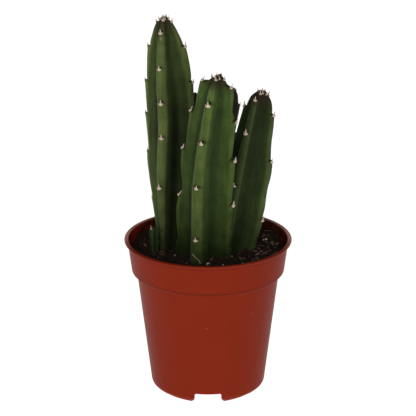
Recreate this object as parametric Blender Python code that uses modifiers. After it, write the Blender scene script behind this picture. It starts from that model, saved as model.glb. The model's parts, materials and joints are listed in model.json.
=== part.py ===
"""Leafless four-ribbed succulent in a round nursery pot, at its real size in metres.

The origin is the middle of the pot's underside, +Z is up and -Y is the front.
"""

import math
import random
from dataclasses import dataclass

import bmesh
import bpy
from mathutils import Vector, noise

OBJECT_NAME = "potted_stapelia"
FIT_GAP = 0.0003
MERGE_DISTANCE = 0.00001
SMOOTH_BELOW_DEGREES = 35.0

# Pot: lip, upper band, tapered wall, rounded heel and foot
POT_HEIGHT = 0.0991
POT_STEPS = 64
WALL = 0.0011
LIP_RADIUS = 0.0525
LIP_BEAD = 0.00085
LIP_BEAD_START_DEGREES = 90.0
LIP_BEAD_END_DEGREES = -60.0
LIP_BEAD_STEPS = 5
LIP_INNER_RADIUS = 0.0496
LIP_INNER_ROUND = 0.0011
LIP_INNER_STEPS = 2
LIP_UNDERSIDE = 0.0974
BAND_TOP_RADIUS = 0.0504
BAND_FOOT_RADIUS = 0.0480
BAND_FOOT = 0.0792
BODY_TOP_RADIUS = 0.04475
BODY_TOP = 0.0753
HEEL_RADIUS = 0.0362
HEEL_ROUND = 0.0040
HEEL_STEPS = 4
FOOT_RING_HEIGHT = 0.0014
FOOT_RING_OUTER = 0.0316
FOOT_RING_INNER = 0.0300
SKIRT_THICKNESS = 0.0013
SKIRT_STEPS = 2
PLATE_UNDERSIDE = 0.0080
PLATE_THICKNESS = 0.0012
FLOOR_ROUND = 0.0036
FLOOR_STEPS = 3

# Notches through the foot, and drainage holes in the raised plate
NOTCH_COUNT = 3
NOTCH_HALF_WIDTH = 0.0083
NOTCH_HEIGHT = 0.0077
NOTCH_FLARE_HEIGHT = 0.0047
NOTCH_FLARE = 1.26
NOTCH_CUT_DEPTH = 0.0222
HOLE_RADIUS = 0.0045
HOLE_CIRCLE = 0.0200
HOLE_COUNT = 6
HOLE_SIDES = 12
HOLE_CUT_DEPTH = 0.0048

# Soil: a low dome, sunk below the rim, with shallow lumps
SOIL_LEVEL = 0.0941
SOIL_DOME = 0.0040
SOIL_STEPS = 40
SOIL_RINGS = 6
SOIL_LUMP_HEIGHT = 0.0008
SOIL_LUMP_SIZE = 0.0090
SOIL_RELIEF_DEPTH = 0.0060
SOIL_STILL_EDGE = 0.00008

# Stems: depth in the soil, rib section and leaf rudiments
STEM_DEPTH = 0.0220
STEM_DEPTH_TAPER = 0.75
RIB_COUNT = 4
CREST_OFFSETS = (-20.0, -7.0, 7.0, 20.0, 45.0)
RIB_SHARPNESS = 1.4
GROOVE_SHARE = 0.50
GROOVE_SHARE_AT_FOOT = 0.62
FOOT_ROUNDING_HEIGHT = 0.0150
LEDGE_HEIGHT = 0.0013
SHORTEST_RING_STEP = 0.00043
LONGEST_RING_STEP = 0.0120
LOWEST_TOOTH = 0.0040
TOOTH_PAST_TOP = 0.0050
TOOTH_PAST_FOOT = 0.0300
TOOTH_TOLERANCE = 0.000001
RADIUS_STATIONS = (0.0, 0.40, 0.70, 0.88, 0.95, 1.0)
LEAF_SIDES = 5
LEAF_LENGTH = 0.0034
CROWN_LEAF_LENGTH = 0.0029
CROWN_DEPTH = 0.0012
LEAF_ROOT_RADIUS = 0.00125
LEAF_TIP_RADIUS = 0.00035
LEAF_SUNK = 0.0011
LEAF_OUTWARD = 0.45

# Colours and roughness
POT_COLOUR = "#842917"
POT_ROUGHNESS = 0.45
SOIL_COLOUR = "#1D120F"
SOIL_ROUGHNESS = 0.95
STEM_ROUGHNESS = 0.60


@dataclass(frozen=True)
class Stem:
    """One four-ribbed stem: where it stands, how it bends and swells, and where its teeth sit."""

    name: str
    colour: str
    foot: tuple
    lean: tuple
    bow: float
    top: float
    rib_turn: float
    twist: float
    radii: tuple
    ledges: tuple
    first_pair: int
    first_tooth: float
    tooth_step: float
    step_growth: float
    wander: float
    seed: int


FRONT_AND_BACK = 0
LEFT_AND_RIGHT = 1

STEMS = (
    Stem(name="stem_tall", colour="#3E4A29",
         foot=(-0.0249, 0.0020), lean=(0.066, -0.017), bow=-0.53, top=0.2401,
         rib_turn=-31.0, twist=83.0,
         radii=(0.0080, 0.0166, 0.0158, 0.0121, 0.0079, 0.0034), ledges=(0.0006, 0.0016),
         first_pair=LEFT_AND_RIGHT, first_tooth=0.2388, tooth_step=0.00804,
         step_growth=0.00079, wander=0.0036, seed=289471),
    Stem(name="stem_front", colour="#4C5E30",
         foot=(-0.0033, -0.0143), lean=(0.022, -0.186), bow=0.47, top=0.2133,
         rib_turn=-13.2, twist=-48.0,
         radii=(0.0181, 0.0184, 0.0158, 0.0128, 0.0108, 0.0046), ledges=(0.0008, 0.0036),
         first_pair=FRONT_AND_BACK, first_tooth=0.2157, tooth_step=0.00784,
         step_growth=0.00141, wander=0.0015, seed=166398),
    Stem(name="stem_right", colour="#2F3C20",
         foot=(0.0165, 0.0030), lean=(0.178, -0.040), bow=-0.10, top=0.1940,
         rib_turn=-25.4, twist=-70.0,
         radii=(0.0148, 0.0167, 0.0135, 0.0107, 0.0084, 0.0036), ledges=(0.0006, 0.0019),
         first_pair=FRONT_AND_BACK, first_tooth=0.1900, tooth_step=0.00883,
         step_growth=0.00315, wander=0.0014, seed=259069),
    Stem(name="stem_back_left", colour="#33241F",
         foot=(-0.0100, 0.0240), lean=(0.020, 0.0), bow=0.0, top=0.1856,
         rib_turn=35.0, twist=0.0,
         radii=(0.0060, 0.0064, 0.0064, 0.0056, 0.0045, 0.0020), ledges=(0.0005, 0.0010),
         first_pair=LEFT_AND_RIGHT, first_tooth=0.1816, tooth_step=0.0090,
         step_growth=0.0020, wander=0.0006, seed=3),
    Stem(name="stem_back_right", colour="#2E1F1D",
         foot=(0.0031, 0.0270), lean=(0.142, 0.0), bow=0.0, top=0.1883,
         rib_turn=-10.0, twist=0.0,
         radii=(0.0055, 0.0060, 0.0061, 0.0057, 0.0046, 0.0020), ledges=(0.0005, 0.0012),
         first_pair=LEFT_AND_RIGHT, first_tooth=0.1784, tooth_step=0.0085,
         step_growth=0.0020, wander=0.0006, seed=5),
    Stem(name="stem_pup", colour="#2E3A22",
         foot=(-0.0338, -0.0064), lean=(0.0, 0.0), bow=0.0, top=0.1078,
         rib_turn=-20.0, twist=0.0,
         radii=(0.0031, 0.0034, 0.0034, 0.0030, 0.0023, 0.0011), ledges=(0.0003, 0.0005),
         first_pair=FRONT_AND_BACK, first_tooth=0.1043, tooth_step=0.0050,
         step_growth=0.0, wander=0.0, seed=1),
)


def remove_all_objects():
    """Empty the file of objects."""
    for scene_object in list(bpy.data.objects):
        bpy.data.objects.remove(scene_object, do_unlink=True)


def new_collection(name):
    """Link a new collection to the scene."""
    collection = bpy.data.collections.new(name)
    bpy.context.scene.collection.children.link(collection)
    return collection


def linear_colour(hex_colour):
    """Turn an sRGB hex colour into the linear values that a shader reads."""
    channels = [int(hex_colour[i:i + 2], 16) / 255 for i in (1, 3, 5)]
    linear = [c / 12.92 if c <= 0.04045 else ((c + 0.055) / 1.055) ** 2.4 for c in channels]
    return (*linear, 1.0)


def make_material(name, hex_colour, roughness):
    """Make a plain Principled material."""
    material = bpy.data.materials.new(name)
    material.use_nodes = True
    shader = material.node_tree.nodes["Principled BSDF"]
    shader.inputs["Base Color"].default_value = linear_colour(hex_colour)
    shader.inputs["Roughness"].default_value = roughness
    return material


def object_from_bmesh(mesh_builder, name, collection):
    """Turn a bmesh into an object in a collection."""
    mesh = bpy.data.meshes.new(name)
    mesh_builder.to_mesh(mesh)
    mesh_builder.free()
    new_object = bpy.data.objects.new(name, mesh)
    collection.objects.link(new_object)
    return new_object


def settle_modifiers(target):
    """Replace an object's mesh by its mesh as modified, and drop the modifiers."""
    graph = bpy.context.evaluated_depsgraph_get()
    mesh = bpy.data.meshes.new_from_object(target.evaluated_get(graph))
    target.modifiers.clear()
    target.data = mesh


def cut_or_join(target, collection, operation):
    """Cut a collection's objects out of a solid, or join them to it."""
    boolean = target.modifiers.new(operation.lower(), "BOOLEAN")
    boolean.operation = operation
    boolean.operand_type = "COLLECTION"
    boolean.collection = collection
    boolean.solver = "EXACT"


def finish(target, material):
    """Give an object its material and smooth shading between its shallow edges."""
    target.data.materials.clear()
    target.data.materials.append(material)
    target.data.shade_smooth()
    target.data.set_sharp_from_angle(angle=math.radians(SMOOTH_BELOW_DEGREES))


def hide_cutter(cutter):
    """Keep a cutter out of the render and show it as wire."""
    cutter.hide_render = True
    cutter.display_type = "WIRE"


def arc(centre, radius, start, end, steps):
    """Points on an arc of a profile, angles in degrees from the outward direction."""
    points = []
    for i in range(steps + 1):
        angle = math.radians(start + (end - start) * i / steps)
        points.append((centre[0] + radius * math.cos(angle), centre[1] + radius * math.sin(angle)))
    return points


def turned(name, profile, steps, collection):
    """Turn a profile of radius and height once round the Z axis."""
    builder = bmesh.new()
    verts = [builder.verts.new((radius, 0.0, height)) for radius, height in profile]
    for first, second in zip(verts, verts[1:]):
        builder.edges.new((first, second))
    turned_object = object_from_bmesh(builder, name, collection)
    screw = turned_object.modifiers.new("turn", "SCREW")
    screw.axis = "Z"
    screw.steps = steps
    screw.render_steps = steps
    screw.use_merge_vertices = True
    screw.merge_threshold = MERGE_DISTANCE
    settle_modifiers(turned_object)
    return turned_object


def plate_top():
    """Height of the raised plate's upper face."""
    return PLATE_UNDERSIDE + PLATE_THICKNESS


def body_radius(height):
    """Outer radius of the pot's tapered wall at a height."""
    heel_top = FOOT_RING_HEIGHT + HEEL_ROUND
    share = (height - heel_top) / (BODY_TOP - heel_top)
    return HEEL_RADIUS + (BODY_TOP_RADIUS - HEEL_RADIUS) * share


def band_inner_radius(height):
    """Inner radius of the pot's upper band at a height."""
    share = (height - BAND_FOOT) / (POT_HEIGHT - LIP_INNER_ROUND - BAND_FOOT)
    foot_radius = BAND_FOOT_RADIUS - WALL
    return foot_radius + (LIP_INNER_RADIUS - foot_radius) * share


def inner_wall(clearance=0.0):
    """Inside of the pot from its floor's edge up to the band's foot, drawn in by a clearance."""
    inset = WALL + clearance
    floor_centre = (body_radius(plate_top() + FLOOR_ROUND) - WALL - FLOOR_ROUND,
                    plate_top() + FLOOR_ROUND)
    points = arc(floor_centre, FLOOR_ROUND - clearance, -90, 0, FLOOR_STEPS)
    points.append((BODY_TOP_RADIUS - inset, BODY_TOP))
    points.append((BAND_FOOT_RADIUS - inset, BAND_FOOT))
    return points


def pot_profile():
    """Half outline of the pot, from its inner floor over the lip to the plate's underside."""
    bead_centre = (LIP_RADIUS - LIP_BEAD, POT_HEIGHT - LIP_BEAD)
    inner_centre = (LIP_INNER_RADIUS + LIP_INNER_ROUND, POT_HEIGHT - LIP_INNER_ROUND)
    heel_centre = (HEEL_RADIUS - HEEL_ROUND, FOOT_RING_HEIGHT + HEEL_ROUND)
    points = [(0.0, plate_top())]
    points += inner_wall()
    points += arc(inner_centre, LIP_INNER_ROUND, 180, 90, LIP_INNER_STEPS)
    points += arc(bead_centre, LIP_BEAD, LIP_BEAD_START_DEGREES, LIP_BEAD_END_DEGREES,
                  LIP_BEAD_STEPS)
    points.append((BAND_TOP_RADIUS, LIP_UNDERSIDE))
    points.append((BAND_FOOT_RADIUS, BAND_FOOT))
    points.append((BODY_TOP_RADIUS, BODY_TOP))
    points += arc(heel_centre, HEEL_ROUND, 0, -90, HEEL_STEPS)
    points.append((FOOT_RING_OUTER, FOOT_RING_HEIGHT))
    points.append((FOOT_RING_OUTER, 0.0))
    points.append((FOOT_RING_INNER, 0.0))
    points.append((FOOT_RING_INNER, FOOT_RING_HEIGHT + SKIRT_THICKNESS))
    points += arc(heel_centre, HEEL_ROUND - SKIRT_THICKNESS, -90, 0, SKIRT_STEPS)
    points.append((HEEL_RADIUS - SKIRT_THICKNESS, PLATE_UNDERSIDE))
    points.append((0.0, PLATE_UNDERSIDE))
    return points


def make_notch_cutter(index, collection):
    """Block that cuts one flared notch through the foot."""
    builder = bmesh.new()
    bmesh.ops.create_cube(builder, size=1.0)
    for vert in builder.verts:
        vert.co.x *= 2 * NOTCH_HALF_WIDTH
        vert.co.y = vert.co.y * NOTCH_CUT_DEPTH - HEEL_RADIUS
        vert.co.z = NOTCH_HEIGHT if vert.co.z > 0 else -FOOT_RING_HEIGHT
    bmesh.ops.bisect_plane(builder, geom=builder.verts[:] + builder.edges[:] + builder.faces[:],
                           plane_co=(0, 0, NOTCH_FLARE_HEIGHT), plane_no=(0, 0, 1))
    for vert in builder.verts:
        if vert.co.z < 0:
            vert.co.x *= NOTCH_FLARE
    cutter = object_from_bmesh(builder, f"notch_cutter_{index + 1}", collection)
    cutter.rotation_euler.z = math.tau * index / NOTCH_COUNT
    hide_cutter(cutter)


def make_hole_cutter(name, place, collection):
    """Cylinder that drills one drainage hole through the plate."""
    builder = bmesh.new()
    bmesh.ops.create_cone(builder, cap_ends=True, segments=HOLE_SIDES, radius1=HOLE_RADIUS,
                          radius2=HOLE_RADIUS, depth=HOLE_CUT_DEPTH)
    cutter = object_from_bmesh(builder, name, collection)
    cutter.location = (*place, PLATE_UNDERSIDE + PLATE_THICKNESS / 2)
    hide_cutter(cutter)


def make_pot(collection):
    """Turn the pot, then cut its notches and drill its drainage holes."""
    pot = turned("pot", pot_profile(), POT_STEPS, collection)
    cutters = new_collection("pot_cutters")
    for index in range(NOTCH_COUNT):
        make_notch_cutter(index, cutters)
    make_hole_cutter("hole_cutter_centre", (0.0, 0.0), cutters)
    for index in range(HOLE_COUNT):
        angle = math.tau * (index + 0.5) / HOLE_COUNT
        place = (HOLE_CIRCLE * math.cos(angle), HOLE_CIRCLE * math.sin(angle))
        make_hole_cutter(f"hole_cutter_{index + 1}", place, cutters)
    cut_or_join(pot, cutters, "DIFFERENCE")
    finish(pot, make_material("terracotta_plastic", POT_COLOUR, POT_ROUGHNESS))


def hermite_through(stations, values, place):
    """Smooth value at a place between stations, through every station's own value."""
    place = min(max(place, stations[0]), stations[-1])
    slopes = [(b - a) / (t - s) for s, t, a, b in zip(stations, stations[1:], values, values[1:])]
    tangents = [slopes[0]]
    for left, right in zip(slopes, slopes[1:]):
        same_way = left * right > 0
        tangents.append(2 * left * right / (left + right) if same_way else 0.0)
    tangents.append(slopes[-1])
    span = max(i for i in range(len(slopes)) if stations[i] <= place)
    width = stations[span + 1] - stations[span]
    t = (place - stations[span]) / width
    start_share = 2 * t ** 3 - 3 * t ** 2 + 1
    end_share = 1 - start_share
    bend = (t ** 3 - 2 * t ** 2 + t) * tangents[span] + (t ** 3 - t ** 2) * tangents[span + 1]
    return start_share * values[span] + end_share * values[span + 1] + width * bend


def tooth_heights(stem):
    """Heights of a stem's toothed whorls, from the top down, with a seeded natural wander."""
    draw = random.Random(stem.seed)
    heights = []
    height = stem.first_tooth
    while height > SOIL_LEVEL + LOWEST_TOOTH:
        heights.append(height + draw.uniform(-stem.wander, stem.wander))
        height -= stem.tooth_step + stem.step_growth * (len(heights) - 1)
    return heights


def axis_point(stem, height):
    """Middle of a stem at a height; below the soil it goes straight down."""
    rise = max(height - SOIL_LEVEL, 0.0)
    x = stem.foot[0] + stem.lean[0] * rise + stem.bow * rise ** 2
    y = stem.foot[1] + stem.lean[1] * rise
    return Vector((x, y, height))


def axis_frame(stem, height):
    """Sideways and backward directions square to a stem's axis, and the axis itself."""
    rise = max(height - SOIL_LEVEL, 0.0)
    above = 1.0 if height >= SOIL_LEVEL else 0.0
    along = Vector((above * (stem.lean[0] + 2 * stem.bow * rise), above * stem.lean[1], 1.0))
    along.normalize()
    sideways = Vector((0.0, 1.0, 0.0)).cross(along).normalized()
    return sideways, along.cross(sideways), along


def stem_share(stem, height):
    """How far up its visible length a height lies, from 0 at the soil to 1 at the top."""
    return min(max((height - SOIL_LEVEL) / (stem.top - SOIL_LEVEL), 0.0), 1.0)


def rib_direction(stem, height, rib):
    """Azimuth of a rib in radians, from the front towards the right."""
    rise = max(height - SOIL_LEVEL, 0.0)
    return math.radians(stem.rib_turn + stem.twist * rise) + rib * math.tau / RIB_COUNT


def ledge_depth(stem, teeth, height, rib):
    """How far a rib's crest lies behind its teeth's tips: most just above a tooth."""
    own = [z for i, z in enumerate(teeth) if (i + stem.first_pair - rib) % 2 == 0]
    reached = height - TOOTH_TOLERANCE
    above = min((z for z in own if z >= reached), default=stem.top + TOOTH_PAST_TOP)
    below = max((z for z in own if z < reached), default=min(own) - TOOTH_PAST_FOOT)
    rise = (height - below) / (above - below)
    step_in = min((height - below) / LEDGE_HEIGHT, 1.0)
    deepest = stem.ledges[0] + (stem.ledges[1] - stem.ledges[0]) * stem_share(stem, height)
    return deepest * (1 - rise) * step_in


def section_radius(stem, teeth, height, angle, clearance=0.0):
    """Radius of the ribbed section at an angle in radians from the first rib."""
    radius = hermite_through(RADIUS_STATIONS, stem.radii, stem_share(stem, height))
    depth = max(SOIL_LEVEL - height, 0.0) / STEM_DEPTH
    radius *= 1 - (1 - STEM_DEPTH_TAPER) * depth
    foot_share = max(1 - max(height - SOIL_LEVEL, 0.0) / FOOT_ROUNDING_HEIGHT, 0.0)
    groove = GROOVE_SHARE + (GROOVE_SHARE_AT_FOOT - GROOVE_SHARE) * foot_share
    crest = (1 + math.cos(RIB_COUNT * angle)) / 2
    rib = round(angle / (math.tau / RIB_COUNT))
    behind = ledge_depth(stem, teeth, height, rib) * crest ** 2 if height > SOIL_LEVEL else 0.0
    return radius * (groove + (1 - groove) * crest ** RIB_SHARPNESS) - behind + clearance


def surface_point(stem, teeth, height, angle, clearance=0.0):
    """Point of a stem's surface at a height and an angle from its first rib."""
    sideways, backward, _ = axis_frame(stem, height)
    azimuth = rib_direction(stem, height, 0) + angle
    radius = section_radius(stem, teeth, height, angle, clearance)
    outward = sideways * math.sin(azimuth) - backward * math.cos(azimuth)
    return axis_point(stem, height) + outward * radius


def ring_heights(stem, teeth):
    """Heights of the rings that a stem is lofted through, from its buried end to its top."""
    fixed = [SOIL_LEVEL - STEM_DEPTH, SOIL_LEVEL - STEM_DEPTH / 2, SOIL_LEVEL,
             SOIL_LEVEL + FOOT_ROUNDING_HEIGHT, stem.top]
    for tooth in teeth:
        fixed += [tooth, tooth + LEDGE_HEIGHT]
    heights = []
    for height in sorted(z for z in fixed if z <= stem.top):
        while heights and height - heights[-1] > LONGEST_RING_STEP:
            heights.append(heights[-1] + LONGEST_RING_STEP)
        if not heights or height - heights[-1] > SHORTEST_RING_STEP:
            heights.append(height)
    return heights


def loft_stem(stem, teeth, heights, name, collection, clearance=0.0):
    """Wrap a grid round a stem's axis, one row at each height, and close its ends."""
    columns = RIB_COUNT * len(CREST_OFFSETS)
    builder = bmesh.new()
    bmesh.ops.create_grid(builder, x_segments=columns, y_segments=len(heights) - 1, size=0.5)
    for vert in builder.verts:
        column = round((vert.co.x + 0.5) * columns) % columns
        row = round((vert.co.y + 0.5) * (len(heights) - 1))
        rib, place = divmod(column, len(CREST_OFFSETS))
        angle = math.radians(CREST_OFFSETS[place]) + rib * math.tau / RIB_COUNT
        vert.co = surface_point(stem, teeth, heights[row], angle, clearance)
    bmesh.ops.remove_doubles(builder, verts=builder.verts[:], dist=MERGE_DISTANCE)
    bmesh.ops.holes_fill(builder, edges=builder.edges[:])
    bmesh.ops.recalc_face_normals(builder, faces=builder.faces[:])
    return object_from_bmesh(builder, name, collection)


def make_leaf(stem, teeth, height, rib, length, collection):
    """One blunt leaf rudiment, rooted in a tooth's tip and pointing up and outward."""
    angle = rib * math.tau / RIB_COUNT
    sideways, backward, along = axis_frame(stem, height)
    azimuth = rib_direction(stem, height, rib)
    outward = sideways * math.sin(azimuth) - backward * math.cos(azimuth)
    pointing = (along + outward * LEAF_OUTWARD).normalized()
    root = surface_point(stem, teeth, height, angle) - outward * LEAF_SUNK - along * LEAF_SUNK
    builder = bmesh.new()
    bmesh.ops.create_cone(builder, cap_ends=True, segments=LEAF_SIDES,
                          radius1=LEAF_ROOT_RADIUS, radius2=LEAF_TIP_RADIUS, depth=length)
    leaf = object_from_bmesh(builder, "leaf", collection)
    leaf.rotation_mode = "QUATERNION"
    leaf.rotation_quaternion = pointing.to_track_quat("Z", "Y")
    leaf.location = root + pointing * length / 2


def make_stem(stem, collection):
    """Loft one stem and join its leaf rudiments to it as one solid."""
    teeth = tooth_heights(stem)
    solid = loft_stem(stem, teeth, ring_heights(stem, teeth), stem.name, collection)
    leaves = new_collection(f"{stem.name}_leaves")
    for index, height in enumerate(teeth):
        first_rib = (index + stem.first_pair) % 2
        for rib in (first_rib, first_rib + 2):
            if height < stem.top - CROWN_DEPTH:
                make_leaf(stem, teeth, height, rib, LEAF_LENGTH, leaves)
    for rib in range(RIB_COUNT):
        make_leaf(stem, teeth, stem.top, rib, CROWN_LEAF_LENGTH, leaves)
    cut_or_join(solid, leaves, "UNION")
    settle_modifiers(solid)
    for leaf in list(leaves.objects):
        bpy.data.objects.remove(leaf, do_unlink=True)
    bpy.data.collections.remove(leaves)
    finish(solid, make_material(f"{stem.name}_skin", stem.colour, STEM_ROUGHNESS))


def soil_profile():
    """Half outline of the soil, from the dome's middle down the wall to the plate."""
    wall = inner_wall(clearance=FIT_GAP)
    top_radius = band_inner_radius(SOIL_LEVEL - SOIL_DOME) - FIT_GAP
    points = []
    for ring in range(SOIL_RINGS + 1):
        share = ring / SOIL_RINGS
        points.append((top_radius * share, SOIL_LEVEL - SOIL_DOME * share ** 2))
    points += reversed(wall)
    points.append((0.0, plate_top() + FIT_GAP))
    return points


def make_soil(collection):
    """Turn the soil, raise its lumps and open a hole for each stem."""
    soil = turned("soil", soil_profile(), SOIL_STEPS, collection)
    wall_start = SOIL_LEVEL - SOIL_DOME + SOIL_STILL_EDGE
    for vert in soil.data.vertices:
        if vert.co.z > wall_start:
            lump = noise.noise(vert.co / SOIL_LUMP_SIZE)
            vert.co.z += SOIL_LUMP_HEIGHT * lump
    cutters = new_collection("soil_cutters")
    for stem in STEMS:
        teeth = tooth_heights(stem)
        heights = [SOIL_LEVEL - STEM_DEPTH - FIT_GAP, SOIL_LEVEL - STEM_DEPTH / 2, SOIL_LEVEL,
                   SOIL_LEVEL + SOIL_RELIEF_DEPTH]
        cutter = loft_stem(stem, teeth, heights, f"{stem.name}_hole", cutters, clearance=FIT_GAP)
        hide_cutter(cutter)
    cut_or_join(soil, cutters, "DIFFERENCE")
    finish(soil, make_material("dark_peat", SOIL_COLOUR, SOIL_ROUGHNESS))


def build():
    """Build the pot, the soil and every stem."""
    remove_all_objects()
    parts = new_collection(OBJECT_NAME)
    make_pot(parts)
    make_soil(parts)
    for stem in STEMS:
        make_stem(stem, parts)


build()
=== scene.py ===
"""Potted stapelia, dressed for a studio picture: nursery pot, peat bed and four-ribbed stems.

Lengths are in metres. The origin is the middle of the pot's underside, +Z is up and -Y is the
front. Every new piece stands where the node that it replaces stands.
"""

import json
import logging
import math
import random
from dataclasses import dataclass, field
from enum import Enum
from functools import partial

import bmesh
import bpy
from mathutils import Matrix, Vector, noise

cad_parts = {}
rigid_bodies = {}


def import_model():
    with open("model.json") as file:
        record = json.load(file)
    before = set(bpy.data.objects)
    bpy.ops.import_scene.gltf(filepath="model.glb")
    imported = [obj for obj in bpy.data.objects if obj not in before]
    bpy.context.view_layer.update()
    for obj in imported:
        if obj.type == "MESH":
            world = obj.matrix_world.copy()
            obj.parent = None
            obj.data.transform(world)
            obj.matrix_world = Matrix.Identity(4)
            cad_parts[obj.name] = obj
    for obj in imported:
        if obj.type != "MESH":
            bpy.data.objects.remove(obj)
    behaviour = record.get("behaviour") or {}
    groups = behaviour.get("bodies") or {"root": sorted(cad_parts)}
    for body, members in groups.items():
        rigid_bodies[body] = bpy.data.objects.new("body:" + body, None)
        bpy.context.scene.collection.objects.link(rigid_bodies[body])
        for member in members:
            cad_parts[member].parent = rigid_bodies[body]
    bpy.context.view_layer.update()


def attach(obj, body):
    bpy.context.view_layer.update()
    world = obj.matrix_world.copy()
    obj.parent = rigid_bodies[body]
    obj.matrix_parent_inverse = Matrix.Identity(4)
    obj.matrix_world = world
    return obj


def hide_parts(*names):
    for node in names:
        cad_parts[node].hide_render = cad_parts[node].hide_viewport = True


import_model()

LOG = logging.getLogger("potted_stapelia")
BODY = "root"
MM = 0.001
MERGE_DISTANCE = 0.00001
SHARP_ANGLE = 40.0
CORNER_STEPS = 4
WHITE = "#FFFFFF"
POT_LAYERS = ("peat_stain_and_shade", "crease_shade", "lip_highlight")
SKIN_LAYERS = ("crest", "young", "axil", "soil_dust_and_shade", "rib_shade", "crest_highlight", "mark")
NOISE_KEYS = ("Vector", "Scale", "Detail", "Roughness")
RANGE_KEYS = ("Value", "From Min", "From Max", "To Min", "To Max")

Colour = tuple[float, float, float, float]
Point = tuple[float, float]
Place = tuple[float, float, float]
Triple = tuple[float, float, float]
Profile = list[Point]
Ribs = tuple[float, float, float, float]
Builder = bmesh.types.BMesh
Mesh = bpy.types.Mesh
Thing = bpy.types.Object
Tree = bpy.types.NodeTree
Socket = bpy.types.NodeSocket


def linear(hex_colour: str) -> Colour:
    """Turns an sRGB hex colour into the linear values that a shader reads.

    Args:
        hex_colour: Colour written as "#RRGGBB".

    Returns:
        Linear red, green and blue, and an alpha of 1.
    """
    channels = [int(hex_colour[i:i + 2], 16) / 255 for i in (1, 3, 5)]
    red, green, blue = (
        c / 12.92 if c <= 0.04045 else ((c + 0.055) / 1.055) ** 2.4 for c in channels
    )
    return red, green, blue, 1.0


def per_mm(size: float) -> float:
    """Returns the texture scale whose features are that many millimetres across."""
    return 1000.0 / size


def smooth_step(value: float) -> float:
    """Eases a value from 0 to 1, level at both ends, and holds it outside them."""
    value = min(max(value, 0.0), 1.0)
    return value * value * (3 - 2 * value)


def bell(distance: float, width: float) -> float:
    """Returns 1 at no distance, falling off smoothly over a width."""
    return math.exp(-((distance / width) ** 2))


def add_node(tree: Tree, kind: str, inputs: dict | None = None,
             **settings: object) -> bpy.types.Node:
    """Adds one shader node with its settings, values and links.

    Args:
        tree: Node tree that the node goes into.
        kind: Node type, without the "ShaderNode" that it starts with.
        inputs: A value or a linked output for each input, by name or place.
        settings: Properties of the node.

    Returns:
        The new node.
    """
    node = tree.nodes.new(f"ShaderNode{kind}")
    for name, value in settings.items():
        setattr(node, name, value)
    for key, value in (inputs or {}).items():
        if isinstance(value, Socket):
            tree.links.new(value, node.inputs[key])
        else:
            node.inputs[key].default_value = value
    return node


def add_nodes(tree: Tree, kind: str, keys: tuple[str | int, ...], rows: list[tuple],
              **settings: object) -> list[Socket]:
    """Adds one shader node for each row of a table.

    Args:
        tree: Node tree that the nodes go into.
        kind: Node type of them all.
        keys: Which input each column of the table sets.
        rows: The table.
        settings: Properties that all the nodes have.

    Returns:
        First output of each node.
    """
    return [add_node(tree, kind, dict(zip(keys, row)), **settings).outputs[0] for row in rows]


def scatter_specks(tree: Tree, place: Socket, size: float, rarity: float, edges: Point,
                   strength: float) -> Socket:
    """Scatters round specks over a surface.

    Args:
        tree: Node tree of the material.
        place: Object coordinates.
        size: Distance between the places where a speck may lie, in millimetres.
        rarity: Share of those places that stay bare.
        edges: Where a speck starts and where it is full, as shares of that distance.
        strength: Share of the colour that it takes in its middle.

    Returns:
        Share that the specks take at each spot.
    """
    cells = add_node(tree, "TexVoronoi", {"Vector": place, "Scale": per_mm(size)})
    chance = add_node(tree, "SeparateColor", {"Color": cells.outputs["Color"]})
    kept = add_node(tree, "Math", {0: chance.outputs[0], 1: rarity}, operation="GREATER_THAN")
    near = add_node(tree, "MapRange", {"Value": cells.outputs["Distance"], "From Min": edges[0],
                                       "From Max": edges[1], "To Max": strength})
    return add_node(tree, "Math", {0: kept.outputs[0], 1: near.outputs[0]},
                    operation="MULTIPLY").outputs[0]


class CoatKind(Enum):
    """How a coat works on what lies under it: it covers it, or it shades it by a factor."""

    COVER = "MIX"
    SHADE = "MULTIPLY"


@dataclass(frozen=True)
class Coat:
    """One coat of a finish: its share of the surface, and its colour or factor."""

    share: Socket | float
    paint: str | Socket
    kind: CoatKind = CoatKind.COVER


@dataclass(frozen=True)
class Look:
    """What a finish gives its shader.

    Attributes:
        ground: Colour under all the coats.
        coats: The coats, the lowest first.
        gloss: Roughness, as a pattern or as one value.
        relief: Pattern that raises the surface.
        strength: How strongly it does so.
        depth: Its depth in millimetres.
        steady: The shader's other values, the same all over.
    """

    ground: str
    coats: list[Coat]
    gloss: Socket | float
    relief: Socket | None = None
    strength: float = 0.0
    depth: float = 0.0
    steady: dict[str, float | Colour] = field(default_factory=dict)


@dataclass(frozen=True)
class Finish:
    """What every finish shares: a named Principled material on object coordinates."""

    name: str

    def make(self) -> bpy.types.Material:
        """Makes the material: lays its coats, then gives it its gloss and its relief.

        Returns:
            The new material.
        """
        material = bpy.data.materials.new(self.name)
        material.use_nodes = True
        tree = material.node_tree
        shader = tree.nodes["Principled BSDF"]
        look = self.look(tree, add_node(tree, "TexCoord").outputs["Object"])
        colour = linear(look.ground)
        for coat in look.coats:
            paint = linear(coat.paint) if isinstance(coat.paint, str) else coat.paint
            colour = add_node(tree, "Mix", {0: coat.share, 6: colour, 7: paint},
                              data_type="RGBA", blend_type=coat.kind.value).outputs[2]
        tree.links.new(colour, shader.inputs["Base Color"])
        if isinstance(look.gloss, Socket):
            tree.links.new(look.gloss, shader.inputs["Roughness"])
        else:
            shader.inputs["Roughness"].default_value = look.gloss
        if look.relief is not None:
            bump = add_node(tree, "Bump", {"Height": look.relief, "Strength": look.strength,
                                           "Distance": look.depth * MM})
            tree.links.new(bump.outputs["Normal"], shader.inputs["Normal"])
        for name, value in look.steady.items():
            shader.inputs[name].default_value = value
        return material

    def look(self, tree: Tree, place: Socket) -> Look:
        """Draws the patterns on object coordinates; each finish has its own way."""
        raise NotImplementedError


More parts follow.
